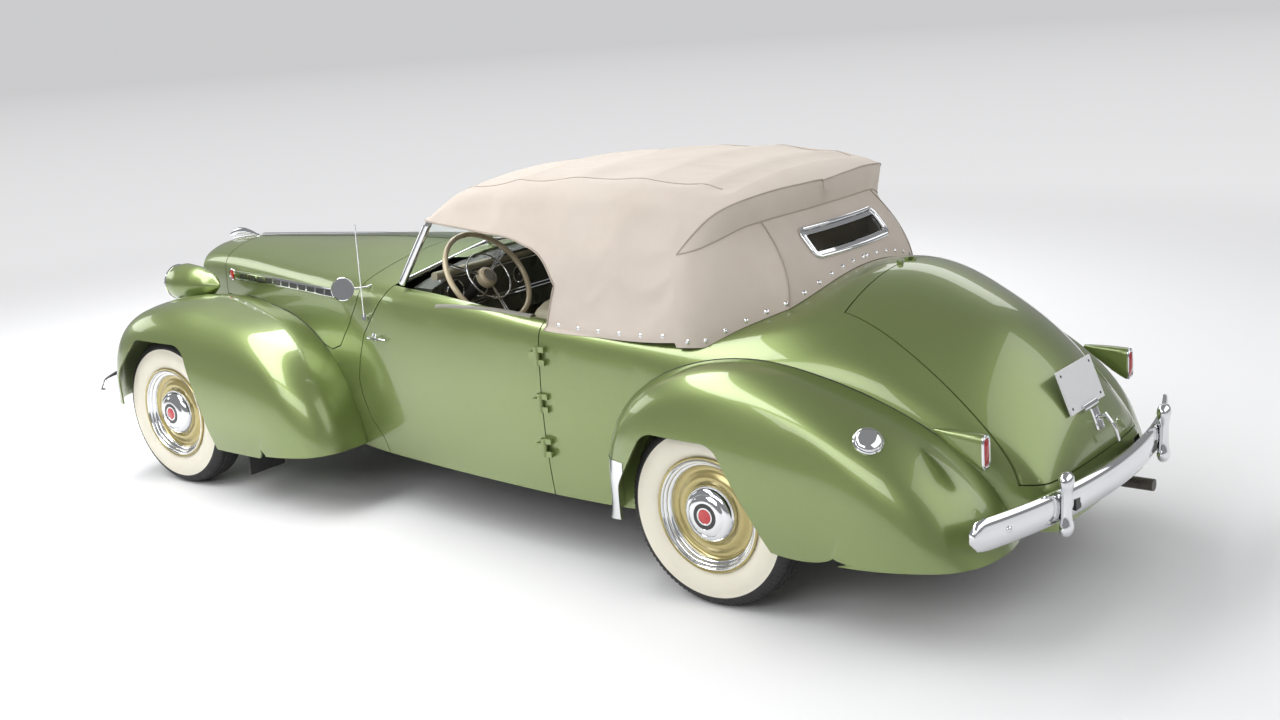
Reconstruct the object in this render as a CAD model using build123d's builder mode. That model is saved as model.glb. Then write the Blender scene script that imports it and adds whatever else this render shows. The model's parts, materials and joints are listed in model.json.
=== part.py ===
"""A prewar American luxury convertible victoria with its cloth top up.

Frame: X forward, Y to the car's left, Z up, millimetres.
The origin is on the floor, midway along the length and the width.
Stations in the tables are measured forward from the rear axle.
"""
from math import cos, hypot, radians, sin, sqrt
import os

from build123d import *

os.makedirs("parts", exist_ok=True)

# Driving sizes
wheelbase = 3226.0
rear_overhang = 1275.0
front_overhang = 870.0
track_front = 1510.0
track_rear = 1540.0
tyre_radius = 362.0
tyre_width = 178.0
shut_gap = 5.0
skin_gap = 0.6
seat_gap = 0.3
sheet = 9.0
door_depth = 70.0
tub_depth = 40.0
cloth = 14.0

overall_length = rear_overhang + wheelbase + front_overhang
rear_axle_x = rear_overhang - overall_length / 2
front_axle_x = rear_axle_x + wheelbase
stretch = wheelbase / 3226.0
axle_z = tyre_radius


def at(x):
    """Place along the car of a station measured forward from the rear axle."""
    return rear_axle_x + x * stretch


def mid_arc(centre, p, q):
    """Arc from p to q about a centre, the short way round."""
    mx = (p[0] + q[0]) / 2 - centre[0]
    my = (p[1] + q[1]) / 2 - centre[1]
    reach = hypot(p[0] - centre[0], p[1] - centre[1])
    k = reach / hypot(mx, my)
    ThreePointArc(p, (centre[0] + mx * k, centre[1] + my * k), q)


def crowned(top, crown, half, flank, waist, base, rnd, apex=0.0, inset=0.0, lower=0.0):
    """Corner points and centres of a crowned section.

    A crown arc of radius crown peaks at (apex, top), a flank arc of radius
    flank bulges out to half at height waist, and an arc of radius rnd joins
    them. The inset moves all three arcs inwards, and lower drops the foot.
    """
    crown_c = (apex, top - crown)
    flank_c = (half - flank, waist)
    r1 = crown - rnd
    r2 = flank - rnd
    dx = flank_c[0] - crown_c[0]
    dy = flank_c[1] - crown_c[1]
    span = hypot(dx, dy)
    along = (r1 * r1 - r2 * r2 + span * span) / (2 * span)
    across = sqrt(max(r1 * r1 - along * along, 0.0))
    ex, ey = dx / span, dy / span
    options = []
    for side in (1, -1):
        options.append((crown_c[0] + along * ex - side * across * ey,
                        crown_c[1] + along * ey + side * across * ex))
    round_c = max(options, key=lambda c: c[0] + 0.5 * c[1])

    def on(centre, towards, radius):
        ux, uy = towards[0] - centre[0], towards[1] - centre[1]
        k = radius / hypot(ux, uy)
        return (centre[0] + ux * k, centre[1] + uy * k)

    low = base - lower
    foot_y = flank_c[0] + sqrt((flank - inset) ** 2 - (waist - low) ** 2)
    return {
        "crown_c": crown_c, "flank_c": flank_c, "round_c": round_c,
        "crown_r": crown - inset,
        "foot": (foot_y, low),
        "flank": on(flank_c, round_c, flank - inset),
        "crown": on(crown_c, round_c, crown - inset),
        "peak": (apex, top - inset),
    }


def flank_radius(half, foot, waist, base):
    """Radius of the flank arc that bulges to half and passes the foot."""
    return ((half - foot) ** 2 + (waist - base) ** 2) / (2 * (half - foot))


def body_face(row, inset=0.0, lower=0.0):
    """Full cross-section of the body at one station."""
    x, top, drop, rnd, half, waist, foot, base = row
    crown = (half * half + drop * drop) / (2 * drop)
    flank = flank_radius(half, foot, waist, base)
    s = crowned(top, crown, half, flank, waist, base, rnd, 0.0, inset, lower)
    flip = lambda p: (-p[0], p[1])
    with BuildSketch(Plane.YZ.offset(at(x))) as face:
        with BuildLine():
            Line(flip(s["foot"]), s["foot"])
            mid_arc(s["flank_c"], s["foot"], s["flank"])
            mid_arc(s["round_c"], s["flank"], s["crown"])
            ThreePointArc(s["crown"], s["peak"], flip(s["crown"]))
            mid_arc(flip(s["round_c"]), flip(s["crown"]), flip(s["flank"]))
            mid_arc(flip(s["flank_c"]), flip(s["flank"]), flip(s["foot"]))
        make_face()
    return face.sketch


def fender_face(row, inner):
    """Band of sheet metal across a fender, in a plane that fans about a wheel or a tail."""
    ox, oz, tilt, top, apex, crown, half, waist, flank, base, rnd = row
    up = (cos(radians(tilt)), 0, sin(radians(tilt)))
    plane = Plane(origin=(at(ox), 0, oz), x_dir=(0, 1, 0), z_dir=(up[2], 0, -up[0]))
    skins = []
    for inset in (0.0, sheet):
        s = crowned(top, crown, half, flank, waist, base, rnd, apex, inset)
        s["edge"] = (inner, s["crown_c"][1] + sqrt(s["crown_r"] ** 2 - (inner - apex) ** 2))
        skins.append(s)
    with BuildSketch(plane) as face:
        with BuildLine():
            for s in skins:
                mid_arc(s["crown_c"], s["edge"], s["crown"])
                mid_arc(s["round_c"], s["crown"], s["flank"])
                mid_arc(s["flank_c"], s["flank"], s["foot"])
            Line(skins[0]["foot"], skins[1]["foot"])
            Line(skins[0]["edge"], skins[1]["edge"])
        make_face()
    return face.sketch


def lofted(faces):
    """Smooth solid through the given sections."""
    with BuildPart() as solid:
        loft(sections=faces)
    return solid.part


def side_slab(points, y0, y1, radius=0.0):
    """Side-view outline of (station, height) points, as thick as y0 to y1."""
    plane = Plane(origin=(0, y0, 0), x_dir=(1, 0, 0), z_dir=(0, -1, 0))
    flat = [(at(x), z) for x, z in points]
    with BuildPart() as slab:
        with BuildSketch(plane):
            with BuildLine():
                if radius > 0:
                    FilletPolyline(*flat, radius=radius, close=True)
                else:
                    Polyline(*flat, close=True)
            make_face()
        extrude(amount=-(y1 - y0))
    return slab.part


def plan_slab(points, z0, z1):
    """Plan outline of (station, y) points, standing from z0 to z1."""
    with BuildPart() as slab:
        with BuildSketch(Plane.XY.offset(z0)):
            with BuildLine():
                Polyline(*[(at(x), y) for x, y in points], close=True)
            make_face()
        extrude(amount=z1 - z0)
    return slab.part


def block(x0, x1, y0, y1, z0, z1):
    """Plain block between two stations, two widths and two heights."""
    with BuildPart() as solid:
        with Locations((at((x0 + x1) / 2), (y0 + y1) / 2, (z0 + z1) / 2)):
            Box(abs(x1 - x0) * stretch, abs(y1 - y0), abs(z1 - z0))
    return solid.part


def rod(p, q, radius):
    """Round bar between two places given as (station, y, z)."""
    a = Vector(at(p[0]), p[1], p[2])
    b = Vector(at(q[0]), q[1], q[2])
    with BuildPart() as solid:
        with BuildSketch(Plane(origin=a, z_dir=b - a)):
            Circle(radius)
        extrude(amount=(b - a).length)
    return solid.part


def both_sides(part):
    """A piece and its mirror image across the car's middle."""
    return [part, mirror(part, about=Plane.XZ)]


def save(name, pieces):
    """Write one node: a solid or a few like solids."""
    with BuildPart() as node:
        for piece in pieces:
            add(piece)
    node.part.label = name
    export_step(node.part, f"parts/{name}.step")


# Body sections from nose to tail.
# Columns: station, top, crown drop, shoulder radius, half width, waist, sill half width, sill
body_rows = [
    (3690, 1052, 75, 95, 212, 800, 196, 400),
    (3480, 1086, 78, 98, 262, 780, 242, 370),
    (3000, 1112, 95, 100, 375, 760, 347, 320),
    (2500, 1137, 115, 105, 520, 740, 487, 285),
    (2100, 1147, 120, 105, 625, 720, 592, 275),
    (1700, 1138, 110, 95, 692, 700, 655, 275),
    (1200, 1085, 80, 80, 742, 700, 705, 275),
    (800, 1047, 65, 75, 765, 700, 730, 275),
    (300, 1065, 90, 140, 755, 700, 720, 280),
    (-50, 1120, 150, 230, 732, 690, 690, 300),
    (-350, 1180, 230, 290, 680, 660, 640, 320),
    (-650, 1095, 290, 290, 600, 610, 560, 330),
    (-900, 945, 300, 250, 522, 560, 487, 345),
    (-1060, 765, 190, 140, 458, 470, 436, 345),
    (-1140, 600, 110, 70, 420, 430, 406, 345),
    (-1165, 470, 50, 35, 400, 395, 392, 345),
]
body_outer = lofted([body_face(r) for r in body_rows])
body_grown = lofted([body_face(r, -skin_gap, 60) for r in body_rows])
sheet_core = lofted([body_face(r, sheet, 30) for r in body_rows])
door_core = lofted([body_face(r, door_depth, 30) for r in body_rows[4:11]])
tub_core = lofted([body_face(r, tub_depth, 30) for r in body_rows[6:-1]])
lining = lofted([body_face(r, sheet + seat_gap, 0) for r in body_rows])

# Front fender sections: a fan about the wheel, then stations back to the tail.
# Columns: origin station, origin height, tilt, reach, crown apex y, crown radius,
#          half width, waist, flank radius, base, shoulder radius
front_rows = [
    (3226, 385, 0, 505, 580, 560, 925, 140, 700, 60, 200),
    (3226, 385, 35, 515, 600, 640, 938, 160, 750, 60, 190),
    (3226, 385, 65, 520, 620, 760, 943, 180, 800, 60, 170),
    (3226, 385, 90, 515, 630, 900, 945, 180, 850, 60, 160),
    (2900, 330, 90, 540, 640, 900, 942, 190, 850, -60, 170),
    (2500, 262, 90, 528, 660, 800, 930, 190, 800, -5, 180),
    (2500, 262, 118, 460, 680, 650, 925, 150, 750, 40, 190),
    (2500, 262, 147, 415, 690, 620, 920, 120, 700, 40, 190),
    (2500, 262, 176, 400, 690, 600, 915, 90, 700, 40, 180),
]
front_inner = 200.0
front_skin = lofted([fender_face(r, front_inner) for r in front_rows])

# Rear fender sections: a fan about the wheel, then a fan about the tail's foot.
rear_rows = [
    (0, 362, -10, 515, 690, 420, 912, 200, 700, 60, 130),
    (0, 362, 25, 530, 690, 470, 930, 190, 750, 60, 150),
    (0, 362, 58, 548, 700, 560, 938, 190, 800, 60, 165),
    (0, 362, 90, 560, 715, 640, 943, 190, 850, 60, 170),
    (-280, 320, 90, 592, 705, 640, 942, 200, 850, -20, 180),
    (-560, 300, 90, 522, 680, 600, 935, 180, 800, 10, 190),
    (-560, 300, 118, 462, 650, 560, 935, 140, 750, 40, 200),
    (-560, 300, 148, 468, 620, 520, 935, 110, 700, 40, 215),
    (-560, 300, 178, 512, 600, 500, 935, 80, 700, 40, 225),
]
rear_inner = 350.0
rear_skin = lofted([fender_face(r, rear_inner) for r in rear_rows])


def cut(base, *tools):
    """The base with each tool taken away."""
    with BuildPart() as solid:
        add(base)
        for tool in tools:
            add(tool, mode=Mode.SUBTRACT)
    return solid.part


def common(base, *tools):
    """What the base and every tool share."""
    with BuildPart() as solid:
        add(base)
        for tool in tools:
            add(tool, mode=Mode.INTERSECT)
    return solid.part


def joined(*pieces):
    """One solid from pieces that touch or overlap."""
    with BuildPart() as solid:
        for piece in pieces:
            add(piece)
    return solid.part


def inward(points, gap):
    """A closed outline moved inwards by a gap, its stations kept true to scale."""
    flat = [(x * stretch, z) for x, z in points]
    with BuildSketch() as face:
        with BuildLine():
            Polyline(*flat, close=True)
        make_face()
        offset(amount=-gap, kind=Kind.INTERSECTION, mode=Mode.REPLACE)
    moved = face.sketch.faces()[0].outer_wire().order_edges()
    return [((e @ 0).X / stretch, (e @ 0).Y) for e in moved]


# Shut lines in side view, as (station, height)
shell_station = 3420.0
hood_outline = [
    (shell_station, 836), (2962, 826), (2650, 812), (2400, 730), (2300, 712), (2215, 742),
    (2120, 850), (2045, 960), (2020, 1030), (2000, 1300), (shell_station, 1300),
]
door_rear = 850.0
door_outline = [
    (door_rear, 200), (1900, 200), (1950, 345), (2025, 424), (2068, 530), (2078, 605), (2050, 700),
    (2000, 817), (1926, 910), (1840, 1010), (1760, 1120), (door_rear, 1120),
]
door_flange = 28.0
door_flange_depth = 18.0
belt_width = 72.0
arch_front = [(2795, 100), (2870, 470), (2985, 742), (3340, 742), (3546, 540), (3546, 100)]
arch_rear = [(392, 100), (372, 440), (235, 667), (-95, 667), (-235, 440), (-420, 100)]
cowl_rear = 1690.0
lid_front = -385.0
lid_half = 455.0
lid_bottom = 520.0
wide = 1200.0

# Hood halves, hinged along the middle
strip_half = 15.0
hood_shell = cut(body_outer, sheet_core)
hood_zone = side_slab(inward(hood_outline, shut_gap / 2), strip_half, wide)
hood_left = common(hood_shell, hood_zone)
save("hood_left", [hood_left])
save("hood_right", [mirror(hood_left, about=Plane.XZ)])

# Radiator shell, open at the front for the grille
shell_zone = block(shell_station + shut_gap / 2, 3800, -wide, wide, 0, 1500)
save("radiator_shell", [common(hood_shell, shell_zone)])

# Door shells, thick in the middle with a thin flange round the edge
flange_core = lofted([body_face(r, door_flange_depth, 30) for r in body_rows[3:9]])
door_zone = side_slab(inward(door_outline, shut_gap / 2), 0, wide)
door_deep_zone = side_slab(inward(door_outline, shut_gap / 2 + door_flange), 0, wide)
belt_zone = plan_slab([(door_rear - 50, 690), (1200, 742 - belt_width), (1700, 692 - belt_width),
                       (2100, 625 - belt_width), (2100, wide), (door_rear - 50, wide)], 100, 1300)
door_skin = common(cut(body_outer, flange_core), door_zone, belt_zone)
door_inner = common(cut(body_outer, door_core), door_deep_zone, belt_zone)
door_left = joined(door_skin, door_inner)
hinge_y = 772.0
hinge_heights = (868.0, 674.0, 488.0)
pin_radius = 7.0
barrel_radius = 13.0
eye_half = 15.0
barrel_half = 38.0


def upright(radius, z0, z1):
    """Round bar standing on the left door's hinge line."""
    return rod((door_rear, hinge_y, z0), (door_rear, hinge_y, z1), radius)


body_hinges = []
hinge_bites = []
for z in hinge_heights:
    bite = upright(barrel_radius + 1, z - barrel_half - 1, z + barrel_half + 1)
    hinge_bites += both_sides(bite)
    eye = joined(upright(barrel_radius, z - eye_half, z + eye_half),
                 block(door_rear, door_rear + 40, 745, 778, z - eye_half, z + eye_half))
    door_left = joined(cut(door_left, bite), cut(eye, upright(pin_radius + seat_gap, z - 50, z + 50)))
    body_hinges.append(upright(pin_radius, z - barrel_half, z + barrel_half))
    for z0, z1 in ((z - barrel_half, z - eye_half - seat_gap), (z + eye_half + seat_gap, z + barrel_half)):
        leaf = block(door_rear - 40, door_rear, 745, 778, z0, z1)
        body_hinges.append(joined(upright(barrel_radius, z0, z1), leaf))
save("door_left", [door_left])
save("door_right", [mirror(door_left, about=Plane.XZ)])

# Cowl: the sides and top between hood and doors, with the firewall
cowl_ring = common(hood_shell, block(cowl_rear, 2420, -wide, wide, 0, 1500))
cowl_ring = cut(cowl_ring, side_slab(inward(hood_outline, -shut_gap / 2), -wide, wide),
                side_slab(inward(door_outline, -shut_gap / 2), -wide, wide))
save("cowl", [cowl_ring])

# Aprons: the sides of the engine bay below the hood
apron_front = shell_station + shut_gap / 2 - seat_gap
apron_ring = common(hood_shell, block(2420 + seat_gap, apron_front, -wide, wide, 0, 1500))
aprons = cut(apron_ring, side_slab(inward(hood_outline, -shut_gap / 2), -wide, wide),
             block(3120, 3332, -wide, wide, 468, 524))
save("engine_aprons", [aprons])

# Fenders
front_fender = cut(front_skin, side_slab(arch_front, 560, wide, 100), body_grown,
                   block(2000, 3300, 0, wide, 0, 246))
save("front_fender_left", [front_fender])
save("front_fender_right", [mirror(front_fender, about=Plane.XZ)])
rear_fender = cut(rear_skin, side_slab(arch_rear, 560, wide, 100), body_grown)
save("rear_fender_left", [rear_fender])
save("rear_fender_right", [mirror(rear_fender, about=Plane.XZ)])

# Tub: the rear quarters, deck and tail, with wheelhouses over the rear wheels
house_radius = 402.0
house_wall = 636.0
opening = [(900, 690), (550, 678), (331, 662), (125, 615), (-28, 560), (-100, 470), (-150, 330), (-190, 150)]
opening_loop = opening + [(x, -y) for x, y in reversed(opening)]


def wheel_drum(radius, y0, y1):
    """Round space about the rear axle between two widths."""
    return rod((0, y0, axle_z), (0, y1, axle_z), radius)


tub_shell = common(cut(body_outer, tub_core), block(-1200, door_rear - shut_gap / 2, -wide, wide, 0, 1500))
lid_plan = plan_slab([(lid_front + shut_gap, lid_half + shut_gap), (-1300, lid_half + shut_gap),
                      (-1300, -lid_half - shut_gap), (lid_front + shut_gap, -lid_half - shut_gap)],
                     lid_bottom - shut_gap, 1500)
house = cut(wheel_drum(house_radius + sheet, house_wall - sheet, wide),
            wheel_drum(house_radius, house_wall, wide + 1))
house = common(house, lofted([body_face(r, 3, 0) for r in body_rows]), block(-600, 600, 0, wide, 330, 1200))
axle_slot = joined(wheel_drum(62, 500, 700), block(-62, 62, 500, 700, 200, axle_z))
house = cut(house, axle_slot)
well = wheel_drum(house_radius, house_wall, wide)
bracket_hole = block(-1300, -1000, 322, 398, 412, 483)
tub = cut(tub_shell, plan_slab(opening_loop, 880, 1400), lid_plan, well, mirror(well, about=Plane.XZ),
          bracket_hole, mirror(bracket_hole, about=Plane.XZ), *hinge_bites)
tub = joined(tub, house, mirror(house, about=Plane.XZ), *body_hinges,
             *[mirror(h, about=Plane.XZ) for h in body_hinges])

# Low hinge knuckles over the gap ahead of the trunk lid
lid_axis_x = lid_front + shut_gap / 2
lid_axis_z = 1187.0
lid_knuckle_foot = 1160.0
lid_eyes = []
for y in (-60.0, 40.0 + seat_gap):
    eye = block(lid_front - 12, lid_axis_x, y, y + 20 - seat_gap, lid_knuckle_foot, lid_axis_z + 2)
    lid_eyes.append(eye)
lid_pins = []
for side in (-1, 1):
    lid_pins.append(rod((lid_axis_x, side * 22, lid_axis_z - 3), (lid_axis_x, side * 58, lid_axis_z - 3), 2))
    lid_pins.append(block(lid_axis_x, lid_front + 18, side * 20, side * 40, lid_knuckle_foot, lid_axis_z + 2))
    pin_root = block(lid_axis_x - 2, lid_axis_x + 1, side * 20, side * 40, lid_axis_z - 5, lid_axis_z - 1)
    lid_pins.append(pin_root)
tub = joined(tub, *lid_pins)
save("tub", [tub])

# Trunk lid, hinged at its front edge
lid_depth = 24.0
lid_core = lofted([body_face(r, lid_depth, 30) for r in body_rows[9:]])
lid_zone = plan_slab([(lid_front, lid_half), (-1300, lid_half), (-1300, -lid_half), (lid_front, -lid_half)],
                     lid_bottom, 1500)
trunk_lid = common(cut(body_outer, lid_core), lid_zone)
for eye, side in zip(lid_eyes, (-1, 1)):
    bore = rod((lid_axis_x, side * 15, lid_axis_z - 3), (lid_axis_x, side * 70, lid_axis_z - 3), 2 + seat_gap)
    trunk_lid = joined(trunk_lid, cut(eye, bore))
save("trunk_lid", [trunk_lid])

# Cloth top: roof and quarters, with the flap that overhangs the back window.
# Columns: station, top, crown drop, shoulder radius, half width, flank radius, waist, base
roof_rows = [
    (1680, 1408, 84, 50, 642, 1000, 1000, 945),
    (1600, 1440, 82, 60, 652, 1000, 1000, 945),
    (1443, 1505, 72, 105, 672, 1000, 1000, 945),
    (1200, 1542, 70, 130, 700, 1000, 1000, 945),
    (880, 1570, 72, 160, 720, 1000, 1000, 945),
    (540, 1580, 76, 180, 738, 1000, 1000, 945),
    (200, 1562, 82, 190, 734, 1000, 1000, 945),
    (20, 1524, 88, 190, 712, 1000, 1000, 945),
    (-85, 1478, 92, 180, 690, 1000, 1000, 945),
]


def roof_face(row, inset=0.0, lower=0.0):
    """Full cross-section of the cloth roof at one station."""
    x, top, drop, rnd, half, flank, waist, base = row
    crown = (half * half + drop * drop) / (2 * drop)
    s = crowned(top, crown, half, flank, waist, base, rnd, 0.0, inset, lower)
    flip = lambda p: (-p[0], p[1])
    with BuildSketch(Plane.YZ.offset(at(x))) as face:
        with BuildLine():
            Line(flip(s["foot"]), s["foot"])
            mid_arc(s["flank_c"], s["foot"], s["flank"])
            mid_arc(s["round_c"], s["flank"], s["crown"])
            ThreePointArc(s["crown"], s["peak"], flip(s["crown"]))
            mid_arc(flip(s["round_c"]), flip(s["crown"]), flip(s["flank"]))
            mid_arc(flip(s["flank_c"]), flip(s["flank"]), flip(s["foot"]))
        make_face()
    return face.sketch


side_opening = [(1800, 850), (1800, 1348), (1625, 1345), (1552, 1340), (1225, 1324), (989, 1297), (838, 1226),
                (779, 1146), (824, 985), (830, 850)]
flap_edge = [(184, 1302), (-104, 1405), (-400, 1512), (-400, 800), (184, 800)]
roof_shell = cut(lofted([roof_face(r) for r in roof_rows]),
                 lofted([roof_face(r, cloth, 30) for r in roof_rows]))
roof_nose = [(1665, 0), (1600, 640), (1590, wide), (1900, wide), (1900, -wide), (1590, -wide), (1600, -640)]
roof = cut(roof_shell, plan_slab(roof_nose, 900, 1700), side_slab(side_opening, -wide, wide),
           side_slab(flap_edge, -wide, wide), body_grown)
save("soft_top", [roof])

# Back curtain: the cloth that wraps the rear below the flap, snapped to the deck.
# Columns: height, half width at the front, shoulder x and y, corner x and y, rear x
curtain_front = 260.0
curtain_rows = [
    (950, 706, 70, 655, -130, 510, -340),
    (1150, 690, 85, 632, -148, 460, -236),
    (1400, 652, 160, 592, 18, 400, -18),
]


def curtain_face(row, inset=0.0):
    """Plan section of the back curtain at one height."""
    z, half, sx, sy, cx, cy, rx = row
    pts = [(at(curtain_front), half - inset), (at(sx) + inset * 0.3, sy - inset),
           (at(cx) + inset * 0.8, cy - inset * 0.6)]
    with BuildSketch(Plane.XY.offset(z)) as face:
        with BuildLine():
            ThreePointArc(pts[0], pts[1], pts[2])
            ThreePointArc(pts[2], (at(rx) + inset, 0), (pts[2][0], -pts[2][1]))
            ThreePointArc((pts[2][0], -pts[2][1]), (pts[1][0], -pts[1][1]), (pts[0][0], -pts[0][1]))
            Line((pts[0][0], -pts[0][1]), pts[0])
        make_face()
    return face.sketch


curtain_shell = cut(lofted([curtain_face(r) for r in curtain_rows]),
                    lofted([curtain_face(r, cloth) for r in curtain_rows]))
window_half = 268.0
window_low = 1233.0
window_high = 1322.0


def window_slot(grow):
    """Rounded opening through the back curtain."""
    with BuildPart() as slot:
        with BuildSketch(Plane.YZ.offset(at(-260))):
            with Locations((0, (window_low + window_high) / 2)):
                RectangleRounded(2 * (window_half + grow), window_high - window_low + 2 * grow, 22 + grow)
        extrude(amount=300)
    return slot.part


roof_keep = lofted([roof_face(r, -skin_gap, 30) for r in roof_rows])
roof_inside = lofted([roof_face(r, cloth + 1.0, 60) for r in roof_rows])
curtain = cut(curtain_shell, window_slot(0), body_grown)
curtain = cut(curtain, cut(common(roof_keep, block(-100, 400, -wide, wide, 900, 1700)), roof_inside))
save("back_curtain", [curtain])
frame_band = cut(lofted([curtain_face(r, -4) for r in curtain_rows]),
                 lofted([curtain_face(r, cloth + 4) for r in curtain_rows]))
window_frame = cut(common(frame_band, window_slot(-seat_gap)), window_slot(-14))
save("rear_window_frame", [window_frame])
glass_band = cut(lofted([curtain_face(r, 4) for r in curtain_rows]),
                 lofted([curtain_face(r, 9) for r in curtain_rows]))
save("rear_window_glass", [common(glass_band, window_slot(-14 - seat_gap))])

# Windshield: two flat panes in a V, posts, header and centre bar
post_foot = (1722, 632, 1080)
post_head = (1572, 581, 1352)
peak_head = (1645, 0, 1402)
bar_radius = 13.0
glass_thick = 6.0
peak_foot_z = 1146.0
v1 = [post_head[i] - post_foot[i] for i in range(3)]
v2 = [peak_head[i] - post_foot[i] for i in range(3)]
pane_n = (v1[1] * v2[2] - v1[2] * v2[1], v1[2] * v2[0] - v1[0] * v2[2], v1[0] * v2[1] - v1[1] * v2[0])
peak_foot_x = post_foot[0] + (pane_n[1] * post_foot[1] - pane_n[2] * (peak_foot_z - post_foot[2])) / pane_n[0]
peak_foot = (peak_foot_x, 0, peak_foot_z)


def pane(points, thick):
    """Flat sheet through corner places given as (station, y, z)."""
    spots = [Vector(at(x), y, z) for x, y, z in points]
    normal = (spots[1] - spots[0]).cross(spots[2] - spots[0]).normalized()
    plane = Plane(origin=spots[0], x_dir=spots[1] - spots[0], z_dir=normal)
    flat = [plane.to_local_coords(v) for v in spots]
    with BuildPart() as solid:
        with BuildSketch(plane):
            with BuildLine():
                Polyline(*[(v.X, v.Y) for v in flat], close=True)
            make_face()
        extrude(amount=thick / 2, both=True)
    return solid.part


bars = [rod(post_foot, post_head, bar_radius + 5), rod(post_head, peak_head, bar_radius),
        rod(post_foot, peak_foot, bar_radius)]
for spot in (post_head, post_foot):
    with BuildPart() as knob:
        with Locations((at(spot[0]), spot[1], spot[2])):
            Sphere(bar_radius + 5)
    bars.append(knob.part)
bars = bars + [mirror(bar, about=Plane.XZ) for bar in bars] + [rod(peak_foot, peak_head, bar_radius)]
with BuildPart() as knob:
    with Locations((at(peak_head[0]), 0, peak_head[2]), (at(peak_foot[0]), 0, peak_foot[2])):
        Sphere(bar_radius)
bars.append(knob.part)
pane_left = pane([post_foot, post_head, peak_head, peak_foot], glass_thick)
pane_left = common(pane_left, block(1400, 2000, 0, wide, 1000, 1600))
roof_over = cut(block(1500, 1675, -wide, wide, 1325, 1600),
                lofted([roof_face(r, cloth + seat_gap, 30) for r in roof_rows]))
windshield = cut(joined(*bars), body_grown, roof_over)
windshield = Part() + sorted(windshield.solids(), key=lambda v: v.volume)[-1]
save("windshield_frame", [windshield])
pane_left = cut(pane_left, windshield, body_grown, roof_over)
panes = sorted(pane_left.solids(), key=lambda v: v.volume)[-1]
save("windshield_glass", both_sides(Part() + panes))

floor_z = 432.0

# Chassis frame: two rails kicked up over the rear axle, and cross members
rail_width = 60.0
rail_half = 390.0
rail_depth = 110.0
rail_line = [(3640, 415), (2300, 415), (520, 425), (330, 612), (-330, 612), (-640, 490), (-1100, 490)]
rail_plan = [(-1100, rail_half), (1500, rail_half), (2900, 235), (3400, 178), (3640, 178)]
rail_sides = side_slab(rail_line + [(x, z - rail_depth) for x, z in reversed(rail_line)], 0, wide)
rail_band = plan_slab(rail_plan + [(x, y - rail_width) for x, y in reversed(rail_plan)], 0, 900)
cross_members = [(3590, 178, 320, 400), (3226, 195, 282 + seat_gap, 400), (2250, 300, 306, 332),
                 (1300, 360, 412, floor_z - seat_gap), (-1040, 360, 390, 480)]
frame_pieces = both_sides(common(rail_sides, rail_band))
for x, half, z0, z1 in cross_members:
    frame_pieces.append(block(x - 45, x + 45, -half + 20, half - 20, z0, z1))
spring_eye = 660.0
spring_in = 430.0
spring_out = 485.0
for x in (spring_eye, -spring_eye):
    z = 400 if x > 0 else 430
    frame_pieces += both_sides(rod((x, rail_half - 20, z), (x, spring_in - seat_gap, z), 14))
save("chassis_frame", [joined(*frame_pieces)])

# Rear axle with its drums and propeller shaft, and the rear leaf springs
drum_radius = 150.0
hub_face = 30.0 + seat_gap
axle_end = track_rear / 2 - hub_face
axle = [rod((0, -axle_end + 40, axle_z), (0, axle_end - 40, axle_z), 42)]
axle += both_sides(rod((0, axle_end - 46, axle_z), (0, axle_end, axle_z), drum_radius))
with BuildPart() as case:
    with Locations((at(0), 0, axle_z)):
        Sphere(138)
axle.append(case.part)
axle.append(rod((60, 0, axle_z), (1820 - seat_gap, 0, 372), 36))
save("rear_axle", [joined(*axle)])
leaf = [(-spring_eye, 452), (-330, 350), (0, axle_z - 42 - seat_gap), (330, 342), (spring_eye, 422)]
leaf_low = [(-spring_eye, 408), (-330, 318), (0, 282), (330, 312), (spring_eye, 378)]
spring = side_slab(leaf + list(reversed(leaf_low)), spring_in, spring_out)
save("rear_springs", both_sides(spring))

# Front suspension arms and steering knuckles
pin_y = 640.0
arm_low = plan_slab([(3120, 130), (3332, 130), (3262, 662), (3190, 662)], 258, 282)
arm_high = plan_slab([(3140, 150), (3312, 150), (3258, 662), (3194, 662)], 486, 506)
tower = block(3160, 3292, 160, 215, 415 + seat_gap, 506)
arms = [arm_low, joined(arm_high, tower)]
save("front_arms", both_sides(arms[0]) + both_sides(arms[1]))
spindle_end = track_front / 2 - hub_face
knuckle = joined(rod((3226, pin_y, 282 + seat_gap), (3226, pin_y, 486 - seat_gap), 20),
                 rod((3226, pin_y, axle_z), (3226, spindle_end, axle_z), 30),
                 rod((3226, spindle_end - 40, axle_z), (3226, spindle_end, axle_z), drum_radius))
save("knuckle_left", [knuckle])
save("knuckle_right", [mirror(knuckle, about=Plane.XZ)])

# Wheels and tyres: turned profiles of (radius, distance out from the wheel's middle)
wheel_profile = [(0, -30), (72, -30), (72, 18), (150, 40), (192, 38), (192, -70), (207, -70), (207, 70),
                 (206, 76), (222, 78), (222, 84), (200, 84), (196, 58), (152, 54), (114, 52), (108, 72),
                 (82, 88), (40, 95), (0, 97)]
tyre_half = tyre_width / 2
tyre_profile = [(207 + seat_gap, 60), (236, tyre_half - 9), (288, tyre_half), (328, tyre_half - 5),
                (352, tyre_half - 24), (tyre_radius, tyre_half - 48)]
tyre_profile = tyre_profile + [(r, -y) for r, y in reversed(tyre_profile)]


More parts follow.
